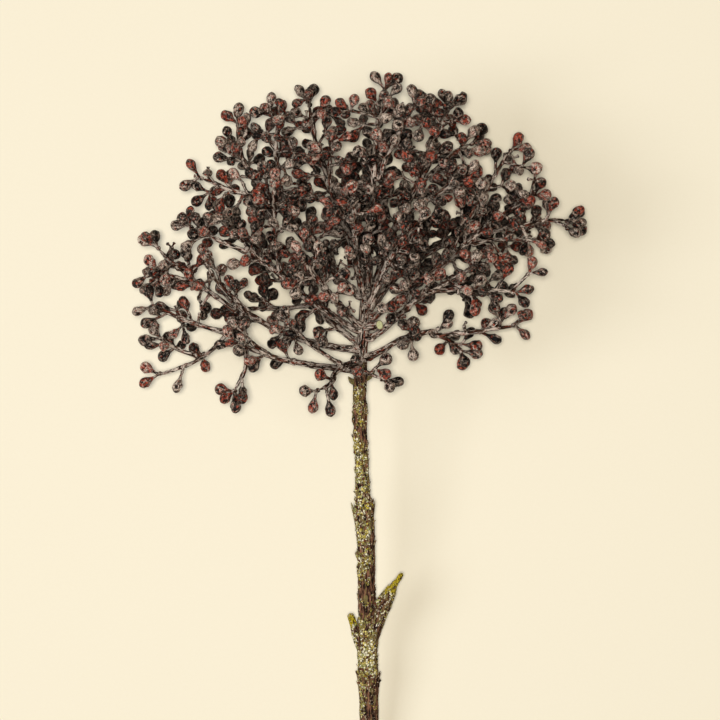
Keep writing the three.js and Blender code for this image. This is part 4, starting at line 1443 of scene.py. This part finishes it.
# The profile from neck to tip: share of the length, share of the radius.
BERRY_PROFILE = np.array([
    (0, 0.26), (0.12, 0.33), (0.24, 0.5), (0.36, 0.72), (0.48, 0.9), (0.58, 0.985), (0.66, 1.0),
    (0.75, 0.94), (0.83, 0.81), (0.9, 0.62), (0.95, 0.42), (0.985, 0.2), (1.0, 0.06),
])
BERRY_ENDS = np.array([[0, 0, -0.01], [0, 0, 0.985]])  # the tip keeps the small scar of the flower
HOLLOWS = 3
HOLLOW_LEVEL = (0.5, 0.75)
HOLLOW_WIDTH = (0.5, 0.85)
HOLLOW_DEPTH = (0.14, 0.3)
HOLLOW_FLATNESS = 4.2  # how much faster it ends along the berry than round it
RIM_HEIGHT = 0.1
RIM_PLACE = 1.25  # of the hollow's width, from its middle
RIM_WIDTH = 0.35
CREASES = 5
CREASE_DEPTH = 0.1
CREASE_WIDTH = 0.24
CREASE_TWIST = (-0.8, 0.8)
WRINKLE_HEIGHT = 0.07
RIDGE_CONTRAST = 5.0
FLATNESS = (0.78, 0.95)
PLUMPNESS = (0.92, 1.08)

berry_skin, w, shader = new_material("Withered berry skin", 0.5, 0.05)
grain = w.attribute("grain", "Vector")
ridge = w.attribute("ridge")
tone = w.attribute("tone")
cover = w.attribute("cover")
drawn = w.stretched(grain, 1.0, 1.0, 0.45)
mottle = w.noise(drawn, 1.3, 5.0, 0.72)
worn = w.scaled(cover, 0.14, w.scaled(ridge, 0.36, mottle))
skin = w.mix(w.spread(worn, 0.68, 0.96), shade(7, 4, 3), shade(130, 107, 90))
skin = w.mix(w.spread(tone, 0.0, 1.0, 0.0, 0.2), skin, shade(76, 65, 57))
red = w.group(patches, Vector=grain, Size=1.3, Cover=w.spread(tone, 0.35, 1.0, 0.1, 0.5), Edge=0.045)
brick = w.mix(w.spread(mottle, 0.4, 0.6), shade(116, 40, 25), shade(192, 86, 62))
skin = w.mix(w.times(red["Mask"], 0.8), skin, brick)
dust_and_glints = w.group(bloom_and_glints, Vector=drawn, Ridge=ridge, Size=0.3, Amount=w.scaled(cover, 0.32, 0.02))
# Pale dust, with grains that are partly painted glints.
skin = w.mix(dust_and_glints["Mask"], skin, shade(222, 201, 181))
# Painted shade: the berries are darkened towards near black where the head hangs over them.
skin = w.group(painted_shade_group, Color=skin, Shelter=w.attribute("painted_shade"))
w.put(shader.inputs["Base Color"], skin["Color"])
w.put(shader.inputs["Roughness"], w.spread(mottle, 0.35, 0.65, 0.28, 0.5))
w.bump(shader, mottle, 0.7, 0.0003)


def turned_away(angle):
    """An angle brought between half a turn back and half a turn on."""
    return np.angle(np.exp(1j * angle))


def berry_form(seed):
    """One withered berry along +Z with a length and a radius of 1: its points, ridges and grain."""
    wither = Dice(seed * 7919 + 13)
    height, radius = np.repeat(BERRY_PROFILE, BERRY_COLUMNS, axis=0).T
    bearing = np.tile(turns_round(BERRY_COLUMNS), len(BERRY_PROFILE))
    across = np.stack([np.cos(bearing), np.sin(bearing)], 1)
    relief = np.zeros(len(height))
    # Sunken sides: each a hollow with a raised rim round it.
    for _ in range(HOLLOWS):
        side = wither(0, math.tau)
        level = wither(*HOLLOW_LEVEL)
        width = wither(*HOLLOW_WIDTH)
        depth = wither(*HOLLOW_DEPTH)
        away = np.hypot(turned_away(bearing - side), (height - level) * HOLLOW_FLATNESS) / width
        relief += -depth * np.exp(-away ** 2) + RIM_HEIGHT * bell(away - RIM_PLACE, RIM_WIDTH)
    # Creases drawn down from the neck.
    for _ in range(CREASES):
        side = wither(0, math.tau)
        away = np.abs(turned_away(bearing - side - (height - 0.4) * wither(*CREASE_TWIST)))
        fading = smoothstep(0.9, 0.5, height) * smoothstep(0.0, 0.2, height)
        relief -= CREASE_DEPTH * bell(away, CREASE_WIDTH) * fading
    place = np.stack([across[:, 0], across[:, 1], height * 2.6], 1)
    relief += WRINKLE_HEIGHT * rough(place + seed * 5.0, 0.7, seed)
    flat = wither(*FLATNESS)
    points = np.stack([
        across[:, 0] * radius * (1 + relief),
        across[:, 1] * radius * (1 + relief) * flat,
        height + 0.02 * relief,
    ], 1)
    # A ridge is what stands higher than the skin two steps to each side of it.
    grid = relief.reshape(-1, BERRY_COLUMNS)
    around = (np.roll(grid, 2, 1) + np.roll(grid, -2, 1)) / 2
    padded = np.pad(grid, ((2, 2), (0, 0)), mode="edge")
    around = (around + (padded[:-4] + padded[4:]) / 2) / 2
    ridge = np.clip(0.45 + (grid - around) * RIDGE_CONTRAST, 0, 1).ravel()
    grain = np.stack([across[:, 0] * radius * 2.4, across[:, 1] * radius * 2.4, height * BERRY_LENGTH], 1)
    return np.concatenate([points, BERRY_ENDS]), ridge, grain


berry_forms = [berry_form(k + 1) for k in range(BERRY_FORMS)]
berry_triangles = ring_triangles(len(BERRY_PROFILE), BERRY_COLUMNS)
pick = Dice(31337)
for name, hung_berries in berries.items():
    shape = Shape()
    for foot, direction, size in hung_berries:
        points, ridge, grain = berry_forms[int(pick(0, BERRY_FORMS - 0.001))]
        side = unit(np.cross(direction, unit(pick.triple(-1, 1))))
        turn = np.stack([side, np.cross(direction, side), direction])
        plump = pick(*PLUMPNESS) * size
        scaled = points * [BERRY_RADIUS * plump, BERRY_RADIUS * plump, BERRY_LENGTH * size]
        shape.add(foot + scaled @ turn, berry_triangles, grain=grain + pick.triple(0, 90), ridge=ridge,
                  tone=pick(0, 1), cover=pick(0, 1) ** 1.6)
    make_piece(f"{name}_berries", shape, [berry_skin], [name], head_painted_shade)

from mathutils import Vector

TABLE_SIZE = 6.0
# Each lamp: where it hangs, how wide it is, its power, and its colour.
LAMPS = {
    "left_softbox": ((-2.1, -0.15, 2.6), 1.8, 39.0, (0.93, 1.0, 1.12)),
    "overhead_softbox": ((-0.02, 0.04, 1.75), 0.12, 21.0, (1.02, 1.0, 0.955)),
}
LAMP_AIM = Vector((0.0, 0.05, 0.04))
ROOM_COLOUR = (1.0, 0.985, 0.96, 1)
ROOM_LEVEL = 0.07
CAMERA_HEIGHT = 1.4
CAMERA_LEFT = 0.8  # millimetres that it stands to the left of the crown
VIEW_LEVEL = 0.045  # the height of the plane that the framing is measured on
VIEW_WIDTH = 0.288
SENSOR = 36.0
NEAREST_SEEN = 0.05
scene = bpy.context.scene

half = TABLE_SIZE / 2
corners = [(-half, -half, 0), (half, -half, 0), (half, half, 0), (-half, half, 0)]
sheet = bpy.data.meshes.new("table")
sheet.from_pydata(corners, [], [(0, 1, 2, 3)])
cream, w, shader = new_material("Cream paper", 0.9, 0.1)
tooth = w.noise(w.node("TexCoord", {})["Object"], 900.0, 2.0)
w.put(shader.inputs["Base Color"], w.mix(tooth, shade(249, 237, 210), shade(251, 240, 214)))
sheet.materials.append(cream)
table = bpy.data.objects.new("table", sheet)
scene.collection.objects.link(table)

for name, (place, size, power, colour) in LAMPS.items():
    light = bpy.data.lights.new(name, "AREA")
    light.shape = "SQUARE"
    light.size = size
    light.energy = power
    light.color = colour
    lamp = bpy.data.objects.new(name, light)
    lamp.location = place
    lamp.rotation_euler = (LAMP_AIM - Vector(place)).to_track_quat("-Z", "Y").to_euler()
    scene.collection.objects.link(lamp)

# The room lights the sprig faintly, and is seen as a pale backdrop past the table's edge.
world = bpy.data.worlds.new("Studio")
scene.world = world
world.use_nodes = True
w = Wiring(world.node_tree)
room = w.node("Background", {"Color": ROOM_COLOUR, "Strength": ROOM_LEVEL})[0]
backdrop = w.node("Background", {"Color": shade(236, 226, 204)})[0]
either = w.node("MixShader", {0: w.node("LightPath", {})["Is Camera Ray"], 1: room, 2: backdrop})[0]
w.put(world.node_tree.nodes["World Output"].inputs["Surface"], either)

camera_data = bpy.data.cameras.new("camera")
camera_data.sensor_width = SENSOR
camera_data.lens = SENSOR * (CAMERA_HEIGHT - VIEW_LEVEL) / VIEW_WIDTH
camera_data.clip_start = NEAREST_SEEN
camera = bpy.data.objects.new("camera", camera_data)
camera.location = ((CROWN[0] - CAMERA_LEFT) * MM, CROWN[1] * MM, CAMERA_HEIGHT)
scene.collection.objects.link(camera)
scene.camera = camera
scene.view_settings.view_transform = "Standard"
